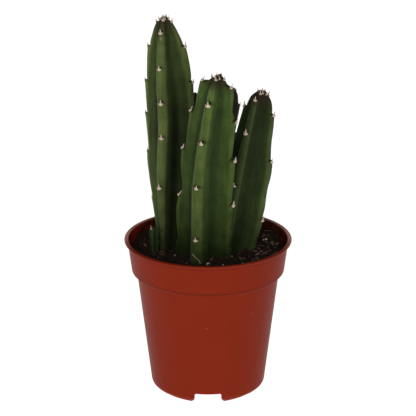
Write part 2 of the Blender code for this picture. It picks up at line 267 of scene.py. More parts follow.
@dataclass(frozen=True)
class MouldedPolypropylene(Finish):
    """Injection-moulded polypropylene: an even satin skin that greys at grazing angles.

    Slow clouding from the melt, fine handling scuffs, a few dust specks, peat stain and painted
    shade on the inside, painted shade in the creases and a painted highlight on the lip keep the
    wall from reading as paint.
    """

    name: str = "moulded_polypropylene_terracotta"
    deep: str = "#7D2410"
    light: str = "#842711"
    scuff: str = "#94422E"
    dust: str = "#A87E6C"
    # Inside colour: partly peat stain, partly painted shade.
    peat_stain_and_shade: str = "#2A1C15"
    # Painted shade in the creases under the lip and over the band's foot.
    crease_shade_colour: str = "#4A150A"
    # Painted highlight on the lip.
    lip_highlight_colour: str = "#DAA293"

    def look(self, tree: Tree, place: Socket) -> Look:
        """Clouds, scuffs, dusts and stains the plastic, and paints shade and a highlight on it.

        Args:
            tree: Node tree of the material.
            place: Object coordinates.

        Returns:
            What the shader gets.
        """
        stained_and_shaded, crease_shade, lip_highlight = (
            add_node(tree, "Attribute", attribute_name=name).outputs["Fac"] for name in POT_LAYERS)
        level = add_node(tree, "Mapping", {"Vector": place, "Scale": (0.35, 0.35, 2.2)})
        clouds, rubbed, blotches, grain = add_nodes(tree, "TexNoise", NOISE_KEYS, [
            (place, per_mm(24.0), 3.0, 0.5), (level.outputs["Vector"], per_mm(3.0), 6.0, 0.7),
            (place, per_mm(2.5), 4.0, 0.5), (place, per_mm(1.1), 2.0, 0.5)])
        scuffs, patchy, gloss = add_nodes(tree, "MapRange", RANGE_KEYS, [
            (rubbed, 0.60, 0.80, 0.0, 0.30), (blotches, 0.35, 0.60, 0.55, 1.0),
            (rubbed, 0.0, 1.0, 0.36, 0.52)])
        specks = scatter_specks(tree, place, 7.0, 0.80, (0.07, 0.04), 0.55)
        # The stain share also paints shade on the inside.
        stain_and_shade = add_node(tree, "Math", {0: stained_and_shaded, 1: patchy}, operation="MULTIPLY").outputs[0]
        # Among the coats: painted shade in the creases.
        coats = [Coat(clouds, self.light), Coat(scuffs, self.scuff), Coat(specks, self.dust),
                 Coat(stain_and_shade, self.peat_stain_and_shade), Coat(crease_shade, self.crease_shade_colour),
                 Coat(lip_highlight, self.lip_highlight_colour)]
        # The lip's last coat is a painted highlight.
        return Look(self.deep, coats, gloss, relief=grain, strength=0.12, depth=0.1,
                    steady={"IOR": 1.49, "Specular IOR Level": 0.04})


@dataclass(frozen=True)
class SucculentSkin(Finish):
    """Living succulent epidermis: leathery, dull and velvety.

    Paler on the ribs and darker in the grooves, partly its own colour, worn and bloomed, and
    partly painted light and shade; purple-brown on young tissue; dark in the axil above each leaf
    rudiment, partly its own colour and partly painted shade. Fine mottling follows the stem
    upwards, a painted highlight runs beside some crests, painted shade darkens each rib by its
    side and height, the foot darkens by soil dust and painted shade, and a few rusty flecks and
    dried marks show its age.
    """

    # Crest, face and groove colours: partly the skin's own, partly painted light on the crests and
    # painted shade in the grooves.
    crest: str
    face: str
    groove: str
    young: str = "#33291F"
    # The axil colour is partly the skin's own dark purple-brown and partly painted shade of the
    # notch above each tooth.
    axil: str = "#1B1410"
    # Colour near the soil: partly soil dust, partly painted shade.
    foot: str = "#1F2614"
    # Painted highlight: a pale line beside the crest on its lit side.
    crest_highlight_colour: str = "#7F8A66"
    fleck: str = "#4A2A20"
    mark: str = "#8C8068"
    sheen: str = "#C9CDB8"

    def look(self, tree: Tree, place: Socket) -> Look:
        """Colours the skin across its ribs, then mottles and ages it, and paints light and shade
        on it.

        Args:
            tree: Node tree of the material.
            place: Object coordinates.

        Returns:
            What the shader gets.
        """
        crest, young, axil, soil_dust_and_shade, rib_shade, crest_highlight, mark = (
            add_node(tree, "Attribute", attribute_name=name).outputs["Fac"]
            for name in SKIN_LAYERS)
        upright = add_node(tree, "Mapping", {"Vector": place, "Scale": (1.0, 1.0, 0.16)})
        streaks, blotches, pores = add_nodes(tree, "TexNoise", NOISE_KEYS, [
            (upright.outputs["Vector"], per_mm(3.2), 3.0, 0.5), (place, per_mm(9.0), 4.0, 0.6),
            (place, per_mm(1.0), 3.0, 0.65)])
        shoulder, ridge = add_nodes(tree, "MapRange", RANGE_KEYS, [
            (crest, 0.02, 0.45, 0.0, 1.0), (crest, 0.72, 0.92, 0.0, 1.0)],
            interpolation_type="SMOOTHSTEP")
        *shades, hollow, gloss = add_nodes(tree, "MapRange", RANGE_KEYS, [
            (streaks, 0.30, 0.70, 0.84, 1.16), (blotches, 0.30, 0.70, 0.78, 1.22),
            (pores, 0.30, 0.70, 0.88, 1.12), (crest, 0.55, 0.95, 1.0, 0.85),
            (blotches, 0.0, 1.0, 0.46, 0.66)])
        dusty_and_shaded, young_share = add_nodes(tree, "Math", (0, 1), [(soil_dust_and_shade, pores), (young, hollow)],
                                       operation="MULTIPLY")
        relief = add_node(tree, "Math", {0: pores, 1: streaks}, operation="ADD").outputs[0]
        flecks = scatter_specks(tree, place, 13.0, 0.72, (0.09, 0.03), 0.6)
        # The groove, face and crest colours are partly the skin's own and partly painted light and
        # shade.
        coats = [Coat(shoulder, self.face), Coat(ridge, self.crest),
                 *[Coat(1.0, shade, CoatKind.SHADE) for shade in shades],
                 # Darker near the soil, partly soil dust and partly painted shade; then a painted
                 # highlight beside the crests.
                 Coat(dusty_and_shaded, self.foot), Coat(crest_highlight, self.crest_highlight_colour),
                 # Painted light and shade of each rib, by height.
                 Coat(1.0, rib_shade, CoatKind.SHADE), Coat(young_share, self.young),
                 # The axil colour: partly its own, partly painted shade above each tooth.
                 Coat(axil, self.axil), Coat(flecks, self.fleck), Coat(mark, self.mark)]
        return Look(self.groove, coats, gloss, relief, strength=0.35, depth=0.2,
                    steady={"IOR": 1.42, "Specular IOR Level": 0.04, "Sheen Weight": 0.04,
                            "Sheen Roughness": 0.45, "Sheen Tint": linear(self.sheen)})


@dataclass(frozen=True)
class DriedLeaf(Finish):
    """Dried leaf tissue: a chalky pinkish-beige bulb, browner towards the spike's point."""

    name: str = "dried_leaf_rudiment"
    bulb: str = "#D3BDAA"
    spike: str = "#CDB9A8"
    point: str = "#9A8070"

    def look(self, tree: Tree, place: Socket) -> Look:
        """Fades the bulb into the spike and its point, and mottles it.

        Args:
            tree: Node tree of the material.
            place: Object coordinates.

        Returns:
            What the shader gets.
        """
        along, tone = (add_node(tree, "Attribute", attribute_name=name).outputs["Fac"]
                       for name in ("along", "tone"))
        fibres = add_node(tree, "TexNoise", {"Vector": place, "Scale": per_mm(0.8),
                                             "Detail": 2.0}).outputs["Fac"]
        rise, end, mottle, age = add_nodes(tree, "MapRange", RANGE_KEYS, [
            (along, 0.40, 0.75, 0.0, 1.0), (along, 0.88, 1.0, 0.0, 1.0),
            (fibres, 0.0, 1.0, 0.72, 1.18), (tone, 0.0, 1.0, 0.10, 1.1)])
        shade = add_node(tree, "Math", {0: mottle, 1: age}, operation="MULTIPLY").outputs[0]
        coats = [Coat(rise, self.spike), Coat(end, self.point),
                 Coat(1.0, shade, CoatKind.SHADE)]
        return Look(self.bulb, coats, gloss=0.8, relief=fibres, strength=0.4, depth=0.1)


@dataclass(frozen=True)
class GroundStuff(Finish):
    """Loose potting stuff, milled and mixed: matt grains between two shades, some rust-coloured.

    The grain size sets its speckle, so the bed reads as moist crumb rather than as a cloth.
    """

    dark: str
    light: str
    tint: str
    grain: float
    relief: float = 0.5
    stretch: float = 1.0
    roughness: float = 0.95

    def look(self, tree: Tree, place: Socket) -> Look:
        """Speckles the grains and tints them in patches.

        Args:
            tree: Node tree of the material.
            place: Object coordinates.

        Returns:
            What the shader gets.
        """
        tone = add_node(tree, "Attribute", attribute_name="tone").outputs["Fac"]
        drawn = add_node(tree, "Mapping", {"Vector": place, "Scale": (self.stretch, 1.0, 1.0)})
        speckle, patches = add_nodes(tree, "TexNoise", NOISE_KEYS, [
            (drawn.outputs["Vector"], per_mm(self.grain), 5.0, 0.7),
            (place, per_mm(4.0), 3.0, 0.5)])
        spread = add_node(tree, "Math", {0: speckle, 1: tone}, operation="ADD").outputs[0]
        share, rust = add_nodes(tree, "MapRange", RANGE_KEYS, [
            (spread, 0.35, 1.35, 0.0, 1.0), (patches, 0.52, 0.72, 0.0, 0.8)])
        coats = [Coat(share, self.light), Coat(rust, self.tint)]
        return Look(self.dark, coats, self.roughness, relief=speckle, strength=self.relief,
                    depth=0.4, steady={"Specular IOR Level": 0.15})


@dataclass(frozen=True)
class StudioSweep(Finish):
    """Matt white studio floor, so evenly lit that it all but swallows the shadow."""

    name: str = "matt_white_sweep"
    shaded: str = "#C9C9C7"
    bright: str = "#D2D2D0"
    glow: float = 0.95

    def look(self, tree: Tree, place: Socket) -> Look:
        """Mottles the floor faintly and lifts it to white.

        Args:
            tree: Node tree of the material.
            place: Object coordinates.

        Returns:
            What the shader gets.
        """
        clouds = add_node(tree, "TexNoise", {"Vector": place, "Scale": per_mm(400.0),
                                             "Detail": 2.0}).outputs["Fac"]
        return Look(self.shaded, [Coat(clouds, self.bright)], gloss=0.9,
                    steady={"Emission Color": linear(WHITE), "Emission Strength": self.glow})


def free_mesh(builder: Builder, name: str) -> Mesh:
    """Writes a finished shape into a mesh.

    Args:
        builder: The shape; it is used up.
        name: Name of the mesh.

    Returns:
        The mesh.
    """
    mesh = bpy.data.meshes.new(name)
    builder.to_mesh(mesh)
    builder.free()
    return mesh


def add_object(name: str, data: bpy.types.ID) -> Thing:
    """Puts a new object into the scene.

    Args:
        name: Name of the object.
        data: Its mesh, lamp or camera.

    Returns:
        The object.
    """
    thing = bpy.data.objects.new(name, data)
    bpy.context.scene.collection.objects.link(thing)
    return thing


def place_piece(builder: Builder, name: str, material: bpy.types.Material,
                replaces: tuple[str, ...] = (),
                smooth_below: float = SHARP_ANGLE) -> Thing:
    """Turns a finished mesh into a piece that rides on the body.

    Args:
        builder: Mesh with its place already in it; it is used up.
        name: Name of the piece.
        material: Its finish.
        replaces: CAD nodes that it stands for.
        smooth_below: Edges sharper than this many degrees stay sharp.

    Returns:
        The piece.
    """
    mesh = free_mesh(builder, name)
    mesh.materials.append(material)
    mesh.shade_smooth()
    mesh.set_sharp_from_angle(angle=math.radians(smooth_below))
    piece = add_object(name, mesh)
    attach(piece, BODY)
    if replaces:
        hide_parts(*replaces)
    return piece


def turn_profile(profile: Profile, steps: int) -> Builder:
    """Spins a half outline once round the Z axis.

    Args:
        profile: Radius and height of each point.
        steps: Steps in the full turn.

    Returns:
        The turned mesh, its poles closed and its faces pointing outwards.
    """
    builder = bmesh.new()
    verts = [builder.verts.new((radius, 0.0, height)) for radius, height in profile]
    edges = [builder.edges.new(pair) for pair in zip(verts, verts[1:])]
    bmesh.ops.spin(builder, geom=verts + edges, cent=(0, 0, 0), axis=(0, 0, 1),
                   angle=math.tau, steps=steps, use_merge=True)
    bmesh.ops.remove_doubles(builder, verts=builder.verts[:], dist=MERGE_DISTANCE)
    bmesh.ops.dissolve_degenerate(builder, edges=builder.edges[:], dist=MERGE_DISTANCE)
    bmesh.ops.recalc_face_normals(builder, faces=builder.faces[:])
    return builder


def arc(centre: Point, radius: float, start: float, end: float, steps: int) -> Profile:
    """Lists points on an arc of an outline, its angles in degrees from the outward direction."""
    turns = [math.radians(start + (end - start) * i / steps) for i in range(steps + 1)]
    return [(centre[0] + radius * math.cos(t), centre[1] + radius * math.sin(t)) for t in turns]


def rounded_corner(before: Point, corner: Point, after: Point, cut: float) -> Profile:
    """Rounds one corner of an outline.

    Args:
        before: Point before the corner.
        corner: The corner.
        after: Point after it.
        cut: How far from the corner the round starts.

    Returns:
        Points of the round.
    """
    middle = Vector(corner)
    start = middle + (Vector(before) - middle).normalized() * cut
    end = middle + (Vector(after) - middle).normalized() * cut
    turns = [i / CORNER_STEPS for i in range(CORNER_STEPS + 1)]
    spots = [start * (1 - t) ** 2 + middle * 2 * t * (1 - t) + end * t ** 2 for t in turns]
    return [(spot.x, spot.y) for spot in spots]


def everything(builder: Builder) -> list:
    """Lists all that a shape is made of."""
    return builder.verts[:] + builder.edges[:] + builder.faces[:]


def template_mesh(builder: Builder, name: str) -> Mesh:
    """Keeps a small shape as a mesh to be repeated, with room for a tone of each copy."""
    builder.verts.layers.float.new("tone")
    return free_mesh(builder, name)


def repeat_shape(templates: list[Mesh], places: list[Matrix], draw: random.Random,
                 tones: list[float] | None = None) -> Builder:
    """Sets copies of some small shapes down, each with a tone of its own.

    Args:
        templates: Shapes to pick from.
        places: Where each copy goes.
        draw: Seeded source of chance.
        tones: Tone of each copy; drawn by chance without them.

    Returns:
        One mesh of all the copies.
    """
    builder = bmesh.new()
    for index, place in enumerate(places):
        start = len(builder.verts)
        builder.from_mesh(draw.choice(templates))
        builder.verts.ensure_lookup_table()
        copied = builder.verts[start:]
        bmesh.ops.transform(builder, matrix=place, verts=copied)
        tone = builder.verts.layers.float["tone"]
        value = tones[index] if tones else draw.random()
        for vert in copied:
            vert[tone] = value
    return builder


def loose_turn(draw: random.Random) -> Matrix:
    """Returns a turn to any side, as a thrown grain lands."""
    axis = Vector((draw.uniform(-1, 1), draw.uniform(-1, 1), draw.uniform(-1, 1) + 0.01))
    return Matrix.Rotation(draw.uniform(0, math.tau), 4, axis.normalized())


def stand(spot: Vector, axes: tuple[Vector, Vector, Vector], size: float) -> Matrix:
    """Stands a small shape on a spot, its own axes turned to the given ones."""
    turn = Matrix(axes).transposed().to_4x4()
    return Matrix.Translation(spot) @ turn @ Matrix.Scale(size, 4)


@dataclass
class NurseryPot:
    """Round nursery pot: rolled lip, upper band, tapered wall and notched foot."""

    finish: Finish = MouldedPolypropylene()
    height: float = 0.0991
    steps: int = 288
    wall: float = 0.0011
    lip_radius: float = 0.0525
    lip_bead: float = 0.00085
    lip_inner_radius: float = 0.0496
    lip_inner_round: float = 0.0011
    lip_underside: float = 0.0974
    lip_fold: float = 0.0001
    lip_corner_round: float = 0.0003
    band_top_radius: float = 0.0504
    band_foot_radius: float = 0.0480
    band_foot: float = 0.0786
    band_edge_round: float = 0.0005
    drops_under_lip: tuple[float, ...] = (0.0009, 0.0018, 0.0028)
    lifts_over_foot: tuple[float, ...] = (0.0026, 0.0018, 0.0011)
    step_corner: float = 0.0770
    step_fillet: float = 0.0012
    step_wall: float = 0.0008
    body_top_radius: float = 0.04475
    body_top: float = 0.0753
    heel_radius: float = 0.0362
    heel_round: float = 0.0040
    ring_height: float = 0.0014
    ring_outer: float = 0.0316
    ring_inner: float = 0.0300
    ring_edge: float = 0.0003
    skirt: float = 0.0013
    plate_underside: float = 0.0080
    plate: float = 0.0012
    floor_round: float = 0.0036
    notches: int = 3
    notch_half_width: float = 0.0083
    notch_height: float = 0.0077
    notch_flare_height: float = 0.0047
    notch_flare: float = 1.26
    notch_depth: float = 0.0222
    notch_round: float = 0.0009
    hole_radius: float = 0.0045
    hole_circle: float = 0.0200
    holes: int = 6
    # Edge of the inside stain and painted shade, which rises towards the right and the back.
    stain_and_shade_height: float = 0.0965
    shade_rise: float = 0.0070
    shade_slant: float = 0.45
    shade_turn: Point = (0.2, 0.4)
    stain_and_shade_fade: float = 0.0040
    stain_rings: int = 12
    skin_margin: float = 0.0003
    # Width, lift and strengths of the painted shade in the creases.
    crease_depth: float = 0.0010
    crease_lift: float = 0.3
    crease_at_lip: float = 0.35
    crease_at_foot: float = 0.5
    # Painted highlight on the lip: least at the front, most at the sides and the back.
    highlight_start: float = 0.0002
    highlight_at_front: float = 0.01
    highlight_slant: float = 0.02
    highlight_behind: float = 0.55
    highlight_turn: Point = (0.5, 0.45)
    highlight_beside: float = 0.50
    highlight_side: Point = (0.08, 0.20)

    @property
    def plate_top(self) -> float:
        """Height of the raised plate's upper face."""
        return self.plate_underside + self.plate

    @property
    def band_taper(self) -> float:
        """How much wider the band is at its top than at its foot."""
        return self.band_top_radius - self.band_foot_radius

    def body_radius(self, height: float) -> float:
        """Works out the outer radius of the tapered wall.

        Args:
            height: Height above the table.

        Returns:
            The radius there.
        """
        heel_top = self.ring_height + self.heel_round
        share = (height - heel_top) / (self.body_top - heel_top)
        return self.heel_radius + (self.body_top_radius - self.heel_radius) * share

    def inner_wall(self, clearance: float = 0.0) -> Profile:
        """Lists the inside from the floor's edge up to the band's foot.

        Args:
            clearance: How far it is drawn in from the wall.

        Returns:
            Radius and height of each point.
        """
        inset = self.wall + clearance
        floor_level = self.plate_top + self.floor_round
        centre = (self.body_radius(floor_level) - self.wall - self.floor_round, floor_level)
        points = arc(centre, self.floor_round - clearance, -90, 0, 8)
        points.append((self.body_top_radius - inset, self.step_corner + self.step_wall))
        points.append((self.band_foot_radius - inset, self.band_foot + self.step_wall))
        return points

    def inner_radius(self, height: float) -> float:
        """Works out the inside radius of the band.

        Args:
            height: Height above the table.

        Returns:
            The radius there.
        """
        rise = (height - self.band_foot) / (self.height - self.lip_inner_round - self.band_foot)
        foot_radius = self.band_foot_radius - self.wall
        return foot_radius + (self.lip_inner_radius - foot_radius) * rise

    def on_band(self, height: float) -> Point:
        """Point of the band's outer face at a height."""
        share = (height - self.band_foot) / (self.lip_underside - self.band_foot)
        return self.band_foot_radius + self.band_taper * share, height

    def outline(self) -> Profile:
        """Lists the half outline, from the inner floor over the lip to the plate's underside.

        Returns:
            Radius and height of each point.
        """
        bead = (self.lip_radius - self.lip_bead, self.height - self.lip_bead)
        inner = (self.lip_inner_radius + self.lip_inner_round,
                 self.height - self.lip_inner_round)
        heel = (self.heel_radius - self.heel_round, self.ring_height + self.heel_round)
        band_top = (self.band_top_radius, self.lip_underside)
        band_foot = (self.band_foot_radius, self.band_foot)
        body_top = (self.body_top_radius, self.step_corner)
        heel_top = (self.heel_radius, self.ring_height + self.heel_round)
        under_lip = (bead[0], self.lip_underside + self.lip_fold)
        rise = (self.height - self.lip_inner_round - self.band_foot) / self.stain_rings
        levels = [self.band_foot + rise * ring for ring in range(1, self.stain_rings)]
        return [
            (0.0, self.plate_top),
            *self.inner_wall(),
            *[(self.inner_radius(level), level) for level in levels],
            *arc(inner, self.lip_inner_round, 180, 90, 6),
            *arc(bead, self.lip_bead, 90, -60, 16),
            *rounded_corner(under_lip, band_top, band_foot, self.lip_corner_round),
            *[self.on_band(self.lip_underside - drop) for drop in self.drops_under_lip],
            *[self.on_band(self.band_foot + lift) for lift in self.lifts_over_foot],
            *rounded_corner(band_top, band_foot, body_top, self.band_edge_round),
            *rounded_corner(band_foot, body_top, heel_top, self.step_fillet),
            *arc(heel, self.heel_round, 0, -90, 12),
            (self.ring_outer, self.ring_height),
            (self.ring_outer, self.ring_edge),
            (self.ring_outer - self.ring_edge, 0.0),
            (self.ring_inner + self.ring_edge, 0.0),
            (self.ring_inner, self.ring_edge),
            (self.ring_inner, self.ring_height + self.skirt),
            *arc(heel, self.heel_round - self.skirt, -90, 0, 6),
            (self.heel_radius - self.skirt, self.plate_underside),
            (0.0, self.plate_underside),
        ]

    def notch_cutter(self, index: int) -> Builder:
        """Makes the block that cuts one flared notch through the foot.

        Args:
            index: Which notch, counted from the front one.

        Returns:
            The block, in its place.
        """
        builder = bmesh.new()
        bmesh.ops.create_cube(builder, size=1.0)
        for vert in builder.verts:
            vert.co.x *= 2 * self.notch_half_width
            vert.co.y = vert.co.y * self.notch_depth - self.heel_radius
            vert.co.z = self.notch_height if vert.co.z > 0 else -self.ring_height
        bmesh.ops.bisect_plane(builder, geom=everything(builder), plane_no=(0, 0, 1),
                               plane_co=(0, 0, self.notch_flare_height))
        for vert in builder.verts:
            if vert.co.z < 0:
                vert.co.x *= self.notch_flare
        level = [edge for edge in builder.edges
                 if all(vert.co.z > self.notch_height - MERGE_DISTANCE for vert in edge.verts)
                 and abs(edge.verts[0].co.x - edge.verts[1].co.x) < MERGE_DISTANCE]
        bmesh.ops.bevel(builder, geom=level, offset=self.notch_round, segments=4,
                        profile=0.5, affect="EDGES", material=-1)
        turn = Matrix.Rotation(math.tau * index / self.notches, 4, "Z")
        bmesh.ops.transform(builder, matrix=turn, verts=builder.verts[:])
        return builder

    def hole_cutter(self, place: Point) -> Builder:
        """Makes the drill for one drainage hole.

        Args:
            place: Where the hole is in the plate.

        Returns:
            The drill, in its place.
        """
        builder = bmesh.new()
        middle = Matrix.Translation((*place, self.plate_underside + self.plate / 2))
        bmesh.ops.create_cone(builder, cap_ends=True, segments=36, radius1=self.hole_radius,
                              radius2=self.hole_radius, depth=4 * self.plate, matrix=middle)
        return builder

    def cutters(self) -> bpy.types.Collection:
        """Gathers every cutter of the pot.

        Returns:
            Collection of the notch blocks and the hole drills.
        """
        shapes = [self.notch_cutter(index) for index in range(self.notches)]
        shapes.append(self.hole_cutter((0.0, 0.0)))
        for index in range(self.holes):
            angle = math.tau * (index + 0.5) / self.holes
            shapes.append(self.hole_cutter((self.hole_circle * math.cos(angle),
                                            self.hole_circle * math.sin(angle))))
        collection = bpy.data.collections.new("pot_cutters")
        for shape in shapes:
            cutter = bpy.data.objects.new("pot_cutter", free_mesh(shape, "pot_cutter"))
            collection.objects.link(cutter)
        bpy.context.scene.collection.children.link(collection)
        return collection

    def crease_shade_share(self, height: float) -> float:
        """Works out how much painted shade lies in the creases under the lip and over the band's
        foot.

        Args:
            height: Height above the table.

        Returns:
            Share of the colour that the painted shade takes.
        """
        under_lip = bell(height - self.lip_underside + self.crease_depth, self.crease_depth / 2)
        above_foot = height - self.band_foot - self.crease_lift * self.crease_depth
        at_foot = bell(above_foot, self.crease_depth)
        return max(self.crease_at_lip * under_lip, self.crease_at_foot * at_foot)

    def lip_highlight_share(self, spot: Vector) -> float:
        """How far the lip is painted pale as a highlight, most at the sides and the back.

        Args:
            spot: Spot on the outside.

        Returns:
            Share of the colour that the painted highlight takes.
        """
        if spot.z < self.lip_underside + self.highlight_start:
            return 0.0
        frontness = -spot.y / math.hypot(spot.x, spot.y)
        behind = smooth_step((self.highlight_turn[0] - frontness) / self.highlight_turn[1])
        beside = bell(frontness + self.highlight_side[0], self.highlight_side[1])
        return (self.highlight_at_front + self.highlight_slant * spot.x / self.lip_radius
                + self.highlight_behind * behind + self.highlight_beside * beside)

    def stain_and_shade_share(self, spot: Vector) -> float:
        """How far the inside is darkened by a peat stain from watering and by painted shade,
        highest at the right and the back.

        Args:
            spot: Any spot of the pot; outside the band there is no stain.

        Returns:
            Share of the colour that the stain and the painted shade take.
        """
        radius = math.hypot(spot.x, spot.y)
        if spot.z < self.band_foot or radius > self.inner_radius(spot.z) + self.skin_margin:
            return 0.0
        behind = smooth_step((spot.y / radius - self.shade_turn[0]) / self.shade_turn[1])
        rise = self.shade_slant * spot.x / radius + behind
        edge = self.stain_and_shade_height + self.shade_rise * rise
        return smooth_step((edge - spot.z) / self.stain_and_shade_fade)

    def build(self) -> list[Thing]:
        """Turns the pot, stains its inside and paints shade there, paints shade in its creases and
        a highlight on its lip, and cuts it.

        Returns:
            The pot.
        """
        builder = turn_profile(self.outline(), self.steps)
        stain_and_shade, crease_shade, lip_highlight = (builder.verts.layers.float.new(name) for name in POT_LAYERS)
        for vert in builder.verts:
            # Inside: peat stain and painted shade.
            vert[stain_and_shade] = self.stain_and_shade_share(vert.co)
            outside = self.inner_radius(vert.co.z) + self.skin_margin
            if math.hypot(vert.co.x, vert.co.y) > outside:
                # Painted shade in the creases.
                vert[crease_shade] = self.crease_shade_share(vert.co.z)
                # Painted highlight on the lip.
                vert[lip_highlight] = self.lip_highlight_share(vert.co)
        pot = place_piece(builder, "pot_shell", self.finish.make(), ("pot",))
        collection = self.cutters()
        cut = pot.modifiers.new("notches_and_holes", "BOOLEAN")
        cut.operation = "DIFFERENCE"
        cut.operand_type = "COLLECTION"
        cut.collection = collection
        cut.solver = "EXACT"
        graph = bpy.context.evaluated_depsgraph_get()
        cut_mesh = bpy.data.meshes.new_from_object(pot.evaluated_get(graph))
        pot.modifiers.clear()
        pot.data = cut_mesh
        cut_mesh.set_sharp_from_angle(angle=math.radians(SHARP_ANGLE))
        for cutter in list(collection.objects):
            bpy.data.objects.remove(cutter, do_unlink=True)
        bpy.data.collections.remove(collection)
        return [pot]


class RibPair(Enum):
    """The two opposite ribs that carry a whorl's teeth."""

    FRONT_AND_BACK = 0
    LEFT_AND_RIGHT = 1


@dataclass(frozen=True)
class LeafRudiment:
    """Dried leaf rudiment: a bulb drawn out to a spike, with a stipule point at each side."""

    half_outline: tuple[Point, ...] = (
        (0.0, -0.0010), (0.0010, -0.0007), (0.00145, -0.0001), (0.00130, 0.00030),
        (0.00072, 0.00065), (0.00045, 0.0011), (0.00036, 0.0023), (0.0, 0.0036),
    )
    steps: int = 8
    flatness: float = 0.75
    stipule_height: float = 0.0006
    stipule_radius: float = 0.00026
    stipule_point: float = 0.00003
    stipule_reach: float = 0.00125
    stipule_foot: float = 0.0004
    stipule_tilt: float = 28.0

    def template(self) -> Mesh:
        """Makes the rudiment standing on the origin, its broad side towards the front.

        Returns:
            The mesh, with an attribute that runs from its base to its point.
        """
        builder = turn_profile(list(self.half_outline), self.steps)
        for vert in builder.verts:
            vert.co.y *= self.flatness
        for side in (-1, 1):
            tilt = Matrix.Rotation(math.radians(self.stipule_tilt * side), 4, "Y")
            spot = Matrix.Translation((side * self.stipule_reach, 0.0, self.stipule_foot))
            lift = Matrix.Translation((0.0, 0.0, self.stipule_height / 2))
            bmesh.ops.create_cone(builder, cap_ends=True, segments=4,
                                  radius1=self.stipule_radius, radius2=self.stipule_point,
                                  depth=self.stipule_height, matrix=spot @ tilt @ lift)
        along = builder.verts.layers.float.new("along")
        low, high = self.half_outline[0][1], self.half_outline[-1][1]
        for vert in builder.verts:
            vert[along] = (vert.co.z - low) / (high - low)
        return template_mesh(builder, "leaf_rudiment")


@dataclass(frozen=True)
class StemRow:
    """One level ring of a stem's skin: where its middle is, how it faces and how wide it is."""

    height: float
    centre: Vector
    sideways: Vector
    backward: Vector
    radius: float
    groove: float
    azimuth: float
    ledges: tuple[float, ...]
    axils: tuple[float, ...]
    swellings: tuple[float, ...]
    young: float
    # Darkening near the soil: partly soil dust, partly painted shade.
    soil_dust_and_shade: float
    # Painted light and shade of each rib at this height.
    rib_shade: tuple[float, ...]
    evenness: float

    def outward(self, angle: float) -> Vector:
        """Direction from the middle to the skin, at an angle from the first rib."""
        azimuth = self.azimuth + angle
        return self.sideways * math.sin(azimuth) - self.backward * math.cos(azimuth)


@dataclass(frozen=True)
class StemPatch:
    """Stretch of a stem's skin, and how strongly something happens there.

    Attributes:
        height: Height of its middle.
        reach: Half its height.
        turn: Degrees from the first rib to its middle.
        spread: Half its width in degrees.
        strength: Depth of a dip, or share of the colour that a dark gap's painted shade takes.
    """

    height: float
    reach: float
    turn: float
    spread: float
    strength: float

    def share(self, height: float, angle: float) -> float:
        """How far a spot lies in the patch, from 0 to 1, by its height and its angle."""
        turned = (math.degrees(angle) - self.turn + 180) % 360 - 180
        return bell(height - self.height, self.reach) * bell(turned, self.spread)


